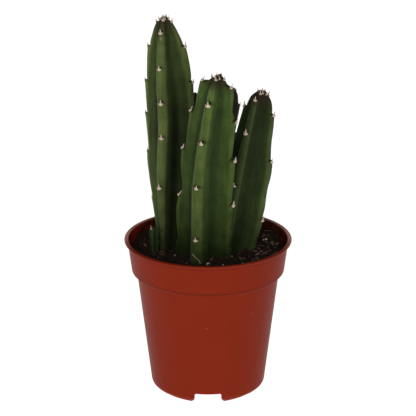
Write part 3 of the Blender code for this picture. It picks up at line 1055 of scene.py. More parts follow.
@dataclass
class RibbedStem:
    """Four-ribbed stem with toothed ribs and a dried leaf rudiment on every tooth."""

    name: str
    slot: str
    skin: SucculentSkin
    foot: Point
    lean: Point
    bow: float
    top: float
    rib_turn: float
    twist: float
    radii: tuple[float, ...]
    ledges: Point
    first_pair: RibPair
    first_tooth: float
    tooth_step: float
    step_growth: float
    wander: float
    seed: int
    columns: int = 160
    row_step: float = 0.0005
    leaf_scale: float = 1.0
    leaf_sizes: Ribs = (1.0, 1.0, 1.0, 1.0)
    leaf_tones: Ribs = (0.95, 0.9, 0.9, 0.9)
    leaf_leans: Ribs = (0.3, 0.2, 0.3, 0.2)
    bare_foot: float = 0.0
    crown: tuple[tuple[int, float, float, float], ...] = (
        (4, 0.85, 0.72, 0.0), (4, 0.48, 0.66, 45.0), (2, 0.15, 0.55, 10.0))
    crown_tone: float = 0.95
    # Painted light and shade of each rib, at the foot, midway and at the top: factors on its
    # colour.
    shade_at_foot: Ribs = (1.0, 1.0, 1.0, 1.0)
    shade_midway: Ribs = (1.0, 1.0, 1.0, 1.0)
    shade_at_top: Ribs = (1.0, 1.0, 1.0, 1.0)
    even_top: float = 0.0
    even_turn: Point = (0.5, 0.4)
    # Painted highlight beside each crest, weaker on its shaded side.
    crest_highlights: Ribs = (0.30, 0.0, 0.0, 0.12)
    crest_highlight_place: float = 0.87
    crest_highlight_width: float = 0.055
    crest_highlight_shaded: float = 0.35
    sway: Triple = (0.0, 0.5, 0.2)
    marks: tuple[Triple, ...] = ()
    dips: tuple[StemPatch, ...] = ()
    # Painted shade in the tight gaps between stems.
    dark_gaps: tuple[StemPatch, ...] = ()
    young_depth: float = 0.0105
    soil_level: float = 0.0941
    depth: float = 0.0220
    depth_taper: float = 0.75
    ribs: int = 4
    sharpness: float = 1.4
    ledge_narrowness: float = 4.0
    bulge_narrowness: int = 8
    axil_narrowness: int = 16
    groove_share: float = 0.50
    groove_share_at_foot: float = 0.62
    foot_rounding: float = 0.0150
    ledge_height: float = 0.0013
    lowest_tooth: float = 0.0040
    stations: tuple[float, ...] = (0.0, 0.40, 0.70, 0.88, 0.95, 1.0)
    crown_depth: float = 0.0012
    past_top: float = 0.0050
    past_foot: float = 0.0300
    axil_lift: float = 0.0009
    axil_width: float = 0.0007
    axil_depth: float = 0.00035
    # Strength of the axil colour, partly painted shade of the notch above each tooth.
    axil_darkness: float = 0.85
    swelling_width: float = 0.0012
    swelling_depth: float = 0.00025
    # Darker near the soil over this height: partly soil dust, partly painted shade.
    soil_dust_and_shade_height: float = 0.0120
    fine_start: float = 0.0040
    cap: tuple[Point, ...] = ((0.86, 0.0004), (0.55, 0.0007), (0.25, 0.0009), (0.0, 0.0009))
    unevenness: tuple[Point, ...] = ((0.00022, 0.009), (0.00008, 0.003))
    leaf_drop: float = 0.0002
    leaf_sink: float = 0.0005
    leaf_lift: float = 0.0004
    leaf_play: float = 0.12
    leaf_spread: Point = (0.86, 1.12)
    leaf_fading: float = 0.82
    crown_play: float = 0.2
    crown_splay: float = 0.25
    crown_spread: Point = (0.85, 1.1)
    crown_fading: float = 0.7
    crown_sink: float = 0.0006
    crown_lift: float = 0.0003

    def teeth(self) -> list[float]:
        """Lists the toothed whorls, from the top down.

        Returns:
            Height of each whorl.
        """
        draw = random.Random(self.seed)
        heights = []
        height = self.first_tooth
        while height > self.soil_level + self.lowest_tooth:
            heights.append(height + draw.uniform(-self.wander, self.wander))
            height -= self.tooth_step + self.step_growth * (len(heights) - 1)
        return heights

    def rise(self, height: float) -> float:
        """How far a height lies above the soil."""
        return max(height - self.soil_level, 0.0)

    def share(self, height: float) -> float:
        """How far up the visible stem a height lies, from 0 to 1."""
        return min(self.rise(height) / (self.top - self.soil_level), 1.0)

    def centre(self, height: float) -> Vector:
        """Finds the middle of the stem, which leans and bows from the soil upwards.

        Args:
            height: Height on the stem.

        Returns:
            The middle there.
        """
        rise = self.rise(height)
        return Vector((self.foot[0] + self.lean[0] * rise + self.bow * rise ** 2,
                       self.foot[1] + self.lean[1] * rise, height))

    def facing(self, height: float) -> tuple[Vector, Vector, Vector]:
        """Finds the directions square to the stem's axis.

        Args:
            height: Height on the stem.

        Returns:
            Sideways, backward and the axis itself.
        """
        above = 1.0 if height >= self.soil_level else 0.0
        slant = self.lean[0] + 2 * self.bow * self.rise(height)
        along = Vector((above * slant, above * self.lean[1], 1.0)).normalized()
        sideways = Vector((0.0, 1.0, 0.0)).cross(along).normalized()
        return sideways, along.cross(sideways), along

    def azimuth(self, height: float, rib: int = 0) -> float:
        """Finds the direction that a rib faces.

        Args:
            height: Height on the stem.
            rib: Which rib.

        Returns:
            Its angle in radians, from the front towards the right.
        """
        most, middle, width = self.sway
        turned = self.rib_turn + self.twist * self.rise(height)
        turned += most * bell(self.share(height) - middle, width)
        return math.radians(turned) + rib * math.tau / self.ribs

    def radius(self, height: float) -> float:
        """Crest radius at a height, through every station's own radius.

        Args:
            height: Height on the stem.

        Returns:
            The radius, tapering below the soil.
        """
        place = min(self.share(height), 1.0)
        spans = list(zip(self.stations, self.stations[1:], self.radii, self.radii[1:]))
        slopes = [(b - a) / (t - s) for s, t, a, b in spans]
        tangents = [slopes[0]]
        for left, right in zip(slopes, slopes[1:]):
            tangents.append(2 * left * right / (left + right) if left * right > 0 else 0.0)
        tangents.append(slopes[-1])
        span = max(i for i in range(len(spans)) if self.stations[i] <= place)
        start, end, first, last = spans[span]
        t = (place - start) / (end - start)
        blend = 2 * t ** 3 - 3 * t ** 2 + 1
        bend = (t ** 3 - 2 * t ** 2 + t) * tangents[span] + (t ** 3 - t ** 2) * tangents[span + 1]
        value = blend * first + (1 - blend) * last + (end - start) * bend
        below = max(self.soil_level - height, 0.0) / self.depth
        return value * (1 - (1 - self.depth_taper) * below)

    def nearest_teeth(self, teeth: list[float], height: float, rib: int) -> tuple[float, float]:
        """Finds the teeth of a rib above and below a height.

        Args:
            teeth: Heights of the whorls.
            height: Height on the stem.
            rib: Which rib.

        Returns:
            Heights of the tooth above and the tooth below.
        """
        own = [z for i, z in enumerate(teeth) if (i + self.first_pair.value - rib) % 2 == 0]
        above = min((z for z in own if z >= height), default=self.top + self.past_top)
        below = max((z for z in own if z < height), default=min(own) - self.past_foot)
        return above, below

    def row(self, teeth: list[float], height: float) -> StemRow:
        """Works out one ring of the skin.

        Args:
            teeth: Heights of the whorls.
            height: Height of the ring.

        Returns:
            The ring.
        """
        sideways, backward, _ = self.facing(height)
        deepest = self.ledges[0] + (self.ledges[1] - self.ledges[0]) * self.share(height)
        above_soil = height > self.soil_level
        ledges, axils, swellings = [], [], []
        for rib in range(self.ribs):
            above, below = self.nearest_teeth(teeth, height, rib)
            rise = (height - below) / (above - below)
            step_in = smooth_step((height - below) / self.ledge_height)
            ledges.append(deepest * (1 - rise) * step_in if above_soil else 0.0)
            axil = bell(height - below - self.axil_lift, self.axil_width)
            axils.append(axil if above_soil else 0.0)
            swelling = bell(above - height, self.swelling_width)
            swellings.append(swelling if above_soil else 0.0)
        foot_share = max(1 - self.rise(height) / self.foot_rounding, 0.0)
        groove = self.groove_share + (self.groove_share_at_foot - self.groove_share) * foot_share
        even = smooth_step((self.share(height) - self.even_turn[0]) / self.even_turn[1])
        return StemRow(
            height=height, centre=self.centre(height), sideways=sideways, backward=backward,
            radius=self.radius(height), groove=groove, azimuth=self.azimuth(height),
            ledges=tuple(ledges), axils=tuple(axils), swellings=tuple(swellings),
            young=smooth_step(1 - (self.top - height) / self.young_depth),
            soil_dust_and_shade=smooth_step(1 - self.rise(height) / self.soil_dust_and_shade_height),
            rib_shade=tuple(self.rib_shade(height, rib) for rib in range(self.ribs)),
            evenness=self.even_top * even)

    def rib_shade(self, height: float, rib: int) -> float:
        """Works out the painted light and shade of a rib: how much of its full colour it keeps,
        lower on the sides turned from the light.

        Args:
            height: Height on the stem.
            rib: Which rib.

        Returns:
            Factor of the colour.
        """
        place = 2 * self.share(height)
        low, high = ((self.shade_at_foot, self.shade_midway) if place < 1
                     else (self.shade_midway, self.shade_at_top))
        blend = smooth_step(place % 1.0 if place < 2 else 1.0)
        return low[rib] + (high[rib] - low[rib]) * blend

    def row_heights(self) -> list[float]:
        """Lists the rings of the skin, coarse in the soil and fine above it.

        Returns:
            Height of each ring.
        """
        heights = [self.soil_level - self.depth, self.soil_level - self.depth / 2]
        start = self.soil_level - self.fine_start
        count = math.ceil((self.top - start) / self.row_step)
        heights += [start + (self.top - start) * i / count for i in range(count + 1)]
        return heights

    def crest(self, angle: float) -> float:
        """How near an angle lies to a crest, from 0 in a groove to 1."""
        return (1 + math.cos(self.ribs * angle)) / 2

    def nearest_rib(self, angle: float) -> int:
        """Number of the rib nearest to an angle."""
        return round(angle / (math.tau / self.ribs)) % self.ribs

    def skin_point(self, row: StemRow, angle: float, shrink: float = 1.0) -> Vector:
        """Places one point of the skin.

        Args:
            row: Ring that it lies on.
            angle: Angle from the first rib.
            shrink: Share of the ring's radius.

        Returns:
            The point.
        """
        crest, rib = self.crest(angle), self.nearest_rib(angle)
        bulge = self.swelling_depth * row.swellings[rib] - self.axil_depth * row.axils[rib]
        radius = row.radius * (row.groove + (1 - row.groove) * crest ** self.sharpness)
        radius -= row.ledges[rib] * crest ** self.ledge_narrowness
        radius += bulge * crest ** self.bulge_narrowness
        radius -= sum(dip.strength * dip.share(row.height, angle) for dip in self.dips)
        return row.centre + row.outward(angle) * radius * shrink

    def mark_share(self, row: StemRow, turned: float) -> float:
        """How far the dried marks cover a spot, by its ring and its degrees from the first rib."""
        return sum(bell((row.height - high) / size, 1.0)
                   * bell((turned - turn) * math.radians(row.radius) / size, 1.0)
                   for high, turn, size in self.marks)

    def build_skin(self, teeth: list[float]) -> Thing:
        """Wraps a grid round the stem's axis and closes both ends.

        Args:
            teeth: Heights of the whorls.

        Returns:
            The skin.
        """
        rows = [(self.row(teeth, height), 1.0, 0.0) for height in self.row_heights()]
        top_row = rows[-1][0]
        rows += [(top_row, shrink, lift) for shrink, lift in self.cap]
        builder = bmesh.new()
        last = len(rows) - 1
        bmesh.ops.create_grid(builder, x_segments=self.columns, y_segments=last, size=0.5)
        layers = [builder.verts.layers.float.new(name) for name in SKIN_LAYERS]
        for vert in builder.verts:
            column = round((vert.co.x + 0.5) * self.columns) % self.columns
            row, shrink, lift = rows[round((vert.co.y + 0.5) * last)]
            angle = math.tau * column / self.columns
            crest, rib = self.crest(angle), self.nearest_rib(angle)
            spot = self.skin_point(row, angle, shrink) + Vector((0.0, 0.0, lift))
            uneven = sum(depth * noise.noise(spot / size) for depth, size in self.unevenness)
            outward = (spot - row.centre) * Vector((1.0, 1.0, 0.0))
            if shrink == 1.0:
                spot += outward.normalized() * uneven
            vert.co = spot
            across = angle / (math.tau / self.ribs)
            left, blend = int(across) % self.ribs, smooth_step(across % 1.0)
            right = (left + 1) % self.ribs
            # Painted shade in the gaps between stems darkens the rib shade further.
            darkened = math.prod(1 - gap.strength * gap.share(row.height, angle)
                                 for gap in self.dark_gaps)
            # Painted highlight beside the crests, fainter on the side away from the light.
            sunny = 1.0 if across < round(across) else self.crest_highlight_shaded
            values = (
                crest + (1 - crest) * row.evenness,
                row.young if shrink == 1.0 else 1.0,
                # The axil colour, partly painted shade above each tooth.
                self.axil_darkness * row.axils[rib] * crest ** self.axil_narrowness,
                row.soil_dust_and_shade,
                darkened * (row.rib_shade[left] * (1 - blend) + row.rib_shade[right] * blend),
                self.crest_highlights[rib] * sunny * bell(crest - self.crest_highlight_place, self.crest_highlight_width),
                self.mark_share(row, across * 90))
            for layer, value in zip(layers, values):
                vert[layer] = value
        bmesh.ops.remove_doubles(builder, verts=builder.verts[:], dist=MERGE_DISTANCE)
        bmesh.ops.holes_fill(builder, edges=builder.edges[:])
        bmesh.ops.recalc_face_normals(builder, faces=builder.faces[:])
        return place_piece(builder, f"{self.name}_skin", self.skin.make(),
                           (self.name,), smooth_below=60.0)

    def leaf_place(self, teeth: list[float], height: float, rib: int, scale: float,
                   draw: random.Random) -> Matrix:
        """Sets one leaf rudiment on a tooth.

        Args:
            teeth: Heights of the whorls.
            height: Height of the tooth.
            rib: Which rib.
            scale: Size of the rudiment.
            draw: Seeded source of chance.

        Returns:
            Where the rudiment goes.
        """
        angle = rib * math.tau / self.ribs
        row = self.row(teeth, height - self.leaf_drop)
        _, _, along = self.facing(height)
        outward = row.outward(angle)
        lean = self.leaf_leans[rib] + draw.uniform(-self.leaf_play, self.leaf_play)
        pointing = (along + outward * lean).normalized()
        aside = outward.cross(pointing).normalized()
        pointing += aside * draw.uniform(-self.leaf_play, self.leaf_play)
        pointing.normalize()
        aside = outward.cross(pointing).normalized()
        front = aside.cross(pointing).normalized()
        spot = self.skin_point(row, angle) - outward * self.leaf_sink + pointing * self.leaf_lift
        return stand(spot, (aside, front, pointing), scale * draw.uniform(*self.leaf_spread))

    def crown_places(self, draw: random.Random) -> list[Matrix]:
        """Crowds small rudiments round the growing point.

        Args:
            draw: Seeded source of chance.

        Returns:
            Where each rudiment goes.
        """
        row = self.row([self.top + self.past_top, self.top - self.past_top], self.top)
        places = []
        for ring, (count, reach, scale, turn_in) in enumerate(self.crown):
            for index in range(count):
                angle = math.tau * index / count + math.radians(turn_in)
                outward = row.outward(angle + draw.uniform(-self.crown_play, self.crown_play))
                splay = outward * draw.uniform(0.0, self.crown_splay)
                pointing = (Vector((0, 0, 1)) + splay).normalized()
                aside = outward.cross(pointing).normalized()
                size = scale * self.leaf_scale * draw.uniform(*self.crown_spread)
                spot = row.centre + outward * row.radius * reach
                spot.z -= self.crown_sink - self.crown_lift * ring
                places.append(stand(spot, (aside, aside.cross(pointing), pointing), size))
        return places

    def build_leaves(self, teeth: list[float], template: Mesh,
                     finish: bpy.types.Material) -> Thing:
        """Sets a rudiment on every tooth and a cluster on the growing point.

        Args:
            teeth: Heights of the whorls.
            template: Mesh of one rudiment.
            finish: Material of the rudiments.

        Returns:
            All the rudiments of the stem as one piece.
        """
        draw = random.Random(self.seed + 7)
        places, tones = [], []
        for index, height in enumerate(teeth):
            if self.rise(height) < self.bare_foot or height > self.top - self.crown_depth:
                continue
            first_rib = (index + self.first_pair.value) % 2
            for rib in (first_rib, first_rib + 2):
                scale = self.leaf_scale * self.leaf_sizes[rib]
                places.append(self.leaf_place(teeth, height, rib, scale, draw))
                tones.append(self.leaf_tones[rib] * draw.uniform(self.leaf_fading, 1.0))
        for place in self.crown_places(draw):
            places.append(place)
            tones.append(self.crown_tone * draw.uniform(self.crown_fading, 1.0))
        builder = repeat_shape([template], places, draw, tones)
        return place_piece(builder, f"{self.name}_leaves", finish, smooth_below=70.0)

    def build(self, template: Mesh, leaf_finish: bpy.types.Material) -> list[Thing]:
        """Builds the skin, and the leaf rudiments from their template and their finish."""
        teeth = self.teeth()
        return [self.build_skin(teeth), self.build_leaves(teeth, template, leaf_finish)]


@dataclass(frozen=True)
class Grain:
    """One loose grain that lies at a certain spot: place, size, flatness, turn, lift and tilt."""

    x: float
    y: float
    size: float
    flatness: float = 0.8
    turn: float = 0.0
    lift: float = 0.0
    tilt: float = 0.0


@dataclass
class PeatBed:
    """Bed of potting mix: crumbly peat with perlite, bark and root fibres on top."""

    pot: NurseryPot
    stems: list[RibbedStem]
    level: float = 0.0941
    dome: float = 0.0040
    edge_drop: float = 0.0020
    edge_start: float = 0.89
    back_rise: float = 0.0048
    back_turn: Point = (0.1, 0.7)
    back_hold: float = 0.7
    fit_gap: float = 0.0003
    rings: int = 110
    steps: int = 300
    tone_size: float = 0.0022
    seed: int = 41
    peat: Finish = GroundStuff("milled_moist_peat", dark="#0E0B09", light="#281D16",
                               tint="#38211B", grain=0.9, relief=0.8)
    perlite: Finish = GroundStuff("expanded_perlite", dark="#8F867B", light="#D6CFC3",
                                  tint="#A89C8B", grain=0.6, relief=0.6)
    bark: Finish = GroundStuff("chipped_bark", dark="#241711", light="#5A4536",
                               tint="#7A6350", grain=0.8, stretch=0.25)
    root: Finish = GroundStuff("dried_root_fibre", dark="#6A5442", light="#BBA086",
                               tint="#9A7D60", grain=0.7)
    crumbs: int = 1500
    crumb_sizes: Point = (0.0005, 0.0016)
    crumb_spread: Point = (0.7, 1.3)
    crumb_reach: float = 0.95
    crumb_shapes: int = 6
    grains: int = 60
    grain_sizes: Point = (0.00025, 0.0006)
    grain_shapes: int = 4
    lump_roughness: float = 0.28
    chips: int = 210
    chip_sizes: Point = (0.0006, 0.0023)
    chip_shape: Place = (1.0, 0.55, 0.22)
    chip_edge: float = 0.12
    chip_roughness: float = 0.14
    threads: int = 60
    thread_sizes: Point = (0.0015, 0.0045)
    thread_flatness: float = 0.5
    thread_ends: Point = (0.050, 0.022)
    thread_joints: int = 7
    thread_bends: Point = (0.15, 0.4)
    thread_lifts: Point = (0.05, 0.22)
    thread_waves: Point = (1.9, 2.0)
    litter_reach: float = 0.92
    litter_left: float = 0.25
    litter_start: float = 0.1
    lying_height: float = 0.25
    litter_lift: float = 0.0003
    litter_shapes: int = 5
    unevenness: tuple[tuple[float, float, Place], ...] = (
        (0.0008, 0.009, (0.0, 0.0, 0.0)), (0.0010, 0.0036, (3.1, 0.0, 1.7)),
        (0.0005, 0.0014, (0.0, 5.2, 2.9)))
    hollows: tuple[tuple[float, float, float, float], ...] = (
        (0.0190, -0.0115, 0.0085, 0.0036), (-0.0225, -0.0075, 0.0070, 0.0024))
    placed_perlite: tuple[Grain, ...] = (
        Grain(0.0000, -0.0322, 0.00130, lift=0.0009), Grain(-0.0151, -0.0305, 0.0006),
        Grain(0.0094, -0.0303, 0.0006), Grain(-0.0395, 0.0106, 0.0009, turn=0.4),
        Grain(-0.0209, -0.0107, 0.0008, lift=0.0004), Grain(-0.0237, -0.0132, 0.0006),
        Grain(0.0377, 0.0007, 0.0008), Grain(0.0382, -0.0032, 0.0009, lift=0.0003),
        Grain(0.0215, -0.0275, 0.0007), Grain(0.0368, 0.0110, 0.0010, turn=0.6, lift=0.0005),
        Grain(0.0352, 0.0090, 0.0007, lift=0.0004), Grain(0.0433, 0.0286, 0.0006, lift=0.0004),
    )
    placed_chips: tuple[Grain, ...] = (
        Grain(0.0143, -0.0190, 0.0014, 1.6, lift=0.0006),
        Grain(0.0293, -0.0095, 0.0016, turn=0.3, lift=0.0010),
        Grain(0.0254, -0.0150, 0.0013, turn=1.2, lift=0.0006),
        Grain(0.0339, -0.0130, 0.0024, turn=0.5, lift=0.0008),
        Grain(0.0372, 0.0059, 0.0014, turn=2.0, lift=0.0006),
        Grain(0.0339, 0.0118, 0.0014, turn=0.7, lift=0.0006),
        Grain(0.0229, -0.0201, 0.0015, turn=2.4, lift=0.0006),
        Grain(0.0410, -0.0105, 0.0016, turn=0.6, lift=0.0006),
        Grain(-0.0105, -0.0262, 0.0014, turn=1.0, lift=0.0008),
        Grain(-0.0125, -0.0290, 0.0013, turn=2.2, lift=0.0006),
    )
    placed_fibres: tuple[Grain, ...] = (
        Grain(-0.0074, -0.0327, 0.0042, 1.0, turn=-0.17, lift=0.0040, tilt=1.0),
        Grain(-0.0069, -0.0327, 0.0040, 1.0, turn=-0.14, lift=0.0040, tilt=1.0),
        Grain(-0.0064, -0.0324, 0.0034, 1.0, turn=-0.10, lift=0.0036, tilt=0.9),
        Grain(0.0318, -0.0127, 0.0042, turn=0.75, lift=0.0008),
        Grain(0.0368, -0.0105, 0.0050, turn=0.70, lift=0.0008),
        Grain(0.0372, 0.0142, 0.0028, 1.0, turn=-0.8, lift=0.0012),
        Grain(0.0388, 0.0205, 0.0030, 1.0, turn=-0.7, lift=0.0012),
    )

    @property
    def rim_radius(self) -> float:
        """Radius of the bed where it meets the pot's band."""
        return self.pot.inner_radius(self.level - self.dome - self.edge_drop) - self.fit_gap

    def surface(self, x: float, y: float) -> float:
        """Height of the crumbly surface at a spot.

        Args:
            x: Place to the right.
            y: Place to the back.

        Returns:
            The height.
        """
        spot = Vector((x, y, 0.0))
        share = min(spot.length / self.rim_radius, 1.0)
        back = smooth_step((y / self.rim_radius + self.back_turn[0]) / self.back_turn[1])
        edge = smooth_step((share - self.edge_start) / (1 - self.edge_start))
        height = self.level - (self.dome - self.back_rise * back) * share ** 2
        height -= self.edge_drop * edge * (1 - self.back_hold * back)
        height -= sum(depth * bell(math.hypot(x - middle_x, y - middle_y), reach)
                      for middle_x, middle_y, reach, depth in self.hollows)
        for depth, size, shift in self.unevenness:
            height += depth * noise.noise(spot / size + Vector(shift))
        return height

    def build_bed(self) -> Thing:
        """Turns the bed and roughens its top.

        Returns:
            The bed.
        """
        rim = self.rim_radius
        profile = [(rim * ring / self.rings, self.level) for ring in range(self.rings + 1)]
        profile += reversed(self.pot.inner_wall(self.fit_gap))
        profile.append((0.0, self.pot.plate_top + self.fit_gap))
        builder = turn_profile(profile, self.steps)
        tone = builder.verts.layers.float.new("tone")
        for vert in builder.verts:
            if vert.co.z > self.level - MERGE_DISTANCE:
                vert.co.z = self.surface(vert.co.x, vert.co.y)
                vert[tone] = 0.5 + 0.5 * noise.noise(vert.co / self.tone_size)
        bmesh.ops.recalc_face_normals(builder, faces=builder.faces[:])
        return place_piece(builder, "soil_bed", self.peat.make(), ("soil",))

    def clear_of_stems(self, x: float, y: float, margin: float) -> bool:
        """Whether a spot lies outside every stem's middle."""
        return all(
            (Vector((x, y)) - stem.centre(self.level).xy).length
            > stem.radius(self.level) * margin for stem in self.stems)

    def spots(self, count: int, draw: random.Random, margin: float = 0.62,
              reach: float = 0.98) -> list[Point]:
        """Picks loose spots on the bed, evenly over its area.

        Args:
            count: How many spots.
            draw: Seeded source of chance.
            margin: Share of a stem's radius that stays free.
            reach: Share of the bed's radius that is strewn.

        Returns:
            The spots.
        """
        found = []
        while len(found) < count:
            distance = self.rim_radius * reach * math.sqrt(draw.random())
            angle = draw.uniform(0, math.tau)
            x, y = distance * math.cos(angle), distance * math.sin(angle)
            if self.clear_of_stems(x, y, margin):
                found.append((x, y))
        return found

    def litter(self, count: int, draw: random.Random) -> list[Point]:
        """Picks loose spots for the light-coloured litter, which lies thickest on the right."""
        return [(x, y) for x, y in self.spots(count, draw, reach=self.litter_reach)
                if draw.random() < self.litter_left + (1 - self.litter_left)
                * smooth_step(x / self.rim_radius - self.litter_start)]

    def lump_templates(self, draw: random.Random, count: int,
                       subdivisions: int) -> list[Mesh]:
        """Makes some uneven lumps, about 1 mm in radius each.

        Args:
            draw: Seeded source of chance.
            count: How many different lumps.
            subdivisions: Fineness of the ball that each starts from.

        Returns:
            The lumps.
        """
        lumps = []
        for index in range(count):
            builder = bmesh.new()
            bmesh.ops.create_icosphere(builder, subdivisions=subdivisions, radius=MM)
            for vert in builder.verts:
                vert.co *= 1 + draw.uniform(-self.lump_roughness, self.lump_roughness)
            lumps.append(template_mesh(builder, f"lump_{index + 1}"))
        return lumps

    def chip_template(self, draw: random.Random, index: int) -> Mesh:
        """Makes one flat, torn chip, about 1 mm in half length.

        Args:
            draw: Seeded source of chance.
            index: Number of the chip.

        Returns:
            The chip.
        """
        builder = bmesh.new()
        bmesh.ops.create_cube(builder, size=2 * MM)
        bmesh.ops.scale(builder, vec=self.chip_shape, verts=builder.verts[:])
        bmesh.ops.bevel(builder, geom=builder.edges[:], offset=self.chip_edge * MM, segments=1,
                        profile=0.5, affect="EDGES", material=-1)
        most = self.chip_roughness
        for vert in builder.verts:
            vert.co += Vector([draw.uniform(-most, most) * MM for _ in range(3)])
        return template_mesh(builder, f"chip_{index + 1}")

    def fibre_template(self, draw: random.Random, index: int) -> Mesh:
        """Makes one bent thread of unit half length in millimetres.

        Args:
            draw: Seeded source of chance.
            index: Number of the thread.

        Returns:
            The thread, lying along X.
        """
        builder = bmesh.new()
        lying = Matrix.Rotation(math.pi / 2, 4, "Y")
        bmesh.ops.create_cone(builder, cap_ends=True, segments=4,
                              radius1=self.thread_ends[0] * MM, depth=2 * MM,
                              radius2=self.thread_ends[1] * MM, matrix=lying)
        for joint in range(1, self.thread_joints):
            along = (2 * joint / self.thread_joints - 1) * MM
            bmesh.ops.bisect_plane(builder, geom=everything(builder), plane_no=(1, 0, 0),
                                   plane_co=(along, 0, 0))
        bend, lift = draw.uniform(*self.thread_bends), draw.uniform(*self.thread_lifts)
        for vert in builder.verts:
            share = vert.co.x / MM
            vert.co.y += bend * MM * math.sin(share * draw.choice(self.thread_waves))
            vert.co.z += lift * MM * (1 - share ** 2)
        return template_mesh(builder, f"fibre_{index + 1}")

    def lay(self, grain: Grain, draw: random.Random | None = None) -> Matrix:
        """Lays one grain on the surface.

        Args:
            grain: The grain.
            draw: Seeded source of chance for a turn to any side; without it the grain lies flat.

        Returns:
            Where the grain goes.
        """
        height = self.surface(grain.x, grain.y) + grain.lift
        height += self.lying_height * grain.size * grain.flatness
        spot = Matrix.Translation((grain.x, grain.y, height))
        turn = loose_turn(draw) if draw else (
            Matrix.Rotation(grain.turn, 4, "Z") @ Matrix.Rotation(grain.tilt, 4, "Y"))
        size = Matrix.Diagonal((grain.size / MM, grain.size / MM,
                                grain.size * grain.flatness / MM, 1.0))
        return spot @ turn @ size

    def build(self) -> list[Thing]:
        """Builds the bed and strews what lies on it.

        Returns:
            The bed and its loose pieces.
        """
        draw = random.Random(self.seed)
        bed = self.build_bed()
        crumbs = [self.lay(Grain(x, y, draw.uniform(*self.crumb_sizes)
                                 * draw.uniform(*self.crumb_spread)), draw)
                  for x, y in self.spots(self.crumbs, draw, reach=self.crumb_reach)]
        shapes = self.lump_templates(draw, self.crumb_shapes, subdivisions=1)
        peat = place_piece(repeat_shape(shapes, crumbs, draw), "peat_crumbs", self.peat.make(),
                           smooth_below=20.0)
        grains = [self.lay(Grain(x, y, draw.uniform(*self.grain_sizes)), draw)
                  for x, y in self.litter(self.grains, draw)]
        grains += [self.lay(grain) for grain in self.placed_perlite]
        shapes = self.lump_templates(draw, self.grain_shapes, subdivisions=2)
        perlite = place_piece(repeat_shape(shapes, grains, draw), "perlite_grains",
                              self.perlite.make(), smooth_below=50.0)
        chips = [self.lay(Grain(x, y, draw.uniform(*self.chip_sizes), lift=self.litter_lift), draw)
                 for x, y in self.litter(self.chips, draw)]
        chips += [self.lay(grain) for grain in self.placed_chips]
        shapes = [self.chip_template(draw, index) for index in range(self.litter_shapes)]
        bark = place_piece(repeat_shape(shapes, chips, draw), "bark_chips", self.bark.make(),
                           smooth_below=30.0)
        threads = [self.lay(Grain(x, y, draw.uniform(*self.thread_sizes), self.thread_flatness,
                                  draw.uniform(0, math.tau), self.litter_lift))
                   for x, y in self.litter(self.threads, draw)]
        threads += [self.lay(grain) for grain in self.placed_fibres]
        shapes = [self.fibre_template(draw, index) for index in range(self.litter_shapes)]
        roots = place_piece(repeat_shape(shapes, threads, draw), "root_fibres", self.root.make(),
                            smooth_below=60.0)
        return [bed, peat, perlite, bark, roots]


@dataclass
class Studio:
    """Plain pale floor, soft light and the camera at the photograph's viewing angle."""

    floor_size: float = 6.0
    target: Place = (0.0, 0.0, 0.1185)
    distance: float = 1.2
    elevation: float = 19.38
    lens: float = 166.4
    sensor: float = 36.0
    surroundings: float = 0.12
    key_power: float = 12.6
    key_place: Place = (-0.05, -1.55, 0.85)
    key_size: float = 0.9
    fill_power: float = 0.8
    fill_place: Place = (-1.3, -0.9, 0.6)
    fill_size: float = 1.0

    def build_floor(self) -> None:
        """Lays the floor under the pot, which isn't part of the object."""
        builder = bmesh.new()
        bmesh.ops.create_grid(builder, x_segments=1, y_segments=1, size=self.floor_size / 2)
        mesh = free_mesh(builder, "studio_floor")
        mesh.materials.append(StudioSweep().make())
        floor = add_object("studio_floor", mesh)

    def aim(self, thing: Thing, place: Vector) -> None:
        """Sets a light or the camera at a place and turns it to the plant."""
        thing.location = place
        thing.rotation_euler = (Vector(self.target) - place).to_track_quat("-Z", "Y").to_euler()

    def add_light(self, name: str, place: Place, power: float, size: float) -> None:
        """Hangs one square soft light that faces the plant.

        Args:
            name: Name of the light.
            place: Where it hangs.
            power: Its power in watts.
            size: Its side.
        """
        lamp = bpy.data.lights.new(name, "AREA")
        lamp.energy = power
        lamp.size = size
        self.aim(add_object(name, lamp), Vector(place))

    def light_room(self) -> None:
        """Surrounds the plant with even white."""
        world = bpy.data.worlds.new("white_room")
        world.use_nodes = True
        background = world.node_tree.nodes["Background"]
        background.inputs["Color"].default_value = linear(WHITE)
        background.inputs["Strength"].default_value = self.surroundings
        bpy.context.scene.world = world
        bpy.context.scene.view_settings.view_transform = "Standard"

    def set_camera(self) -> None:
        """Stands the camera in front of the plant, looking slightly down on it."""
        tilt = math.radians(self.elevation)
        back = self.distance * Vector((0.0, -math.cos(tilt), math.sin(tilt)))
        data = bpy.data.cameras.new("camera")
        data.lens = self.lens
        data.sensor_width = self.sensor
        data.clip_start = 0.01
        camera = add_object("camera", data)
        self.aim(camera, Vector(self.target) + back)
        bpy.context.scene.camera = camera

    def build(self) -> None:
        """Sets up the floor, the lights, the room and the camera."""
        self.build_floor()
        self.add_light("key_light", self.key_place, self.key_power, self.key_size)
        self.add_light("fill_light", self.fill_place, self.fill_power, self.fill_size)
        self.light_room()
        self.set_camera()


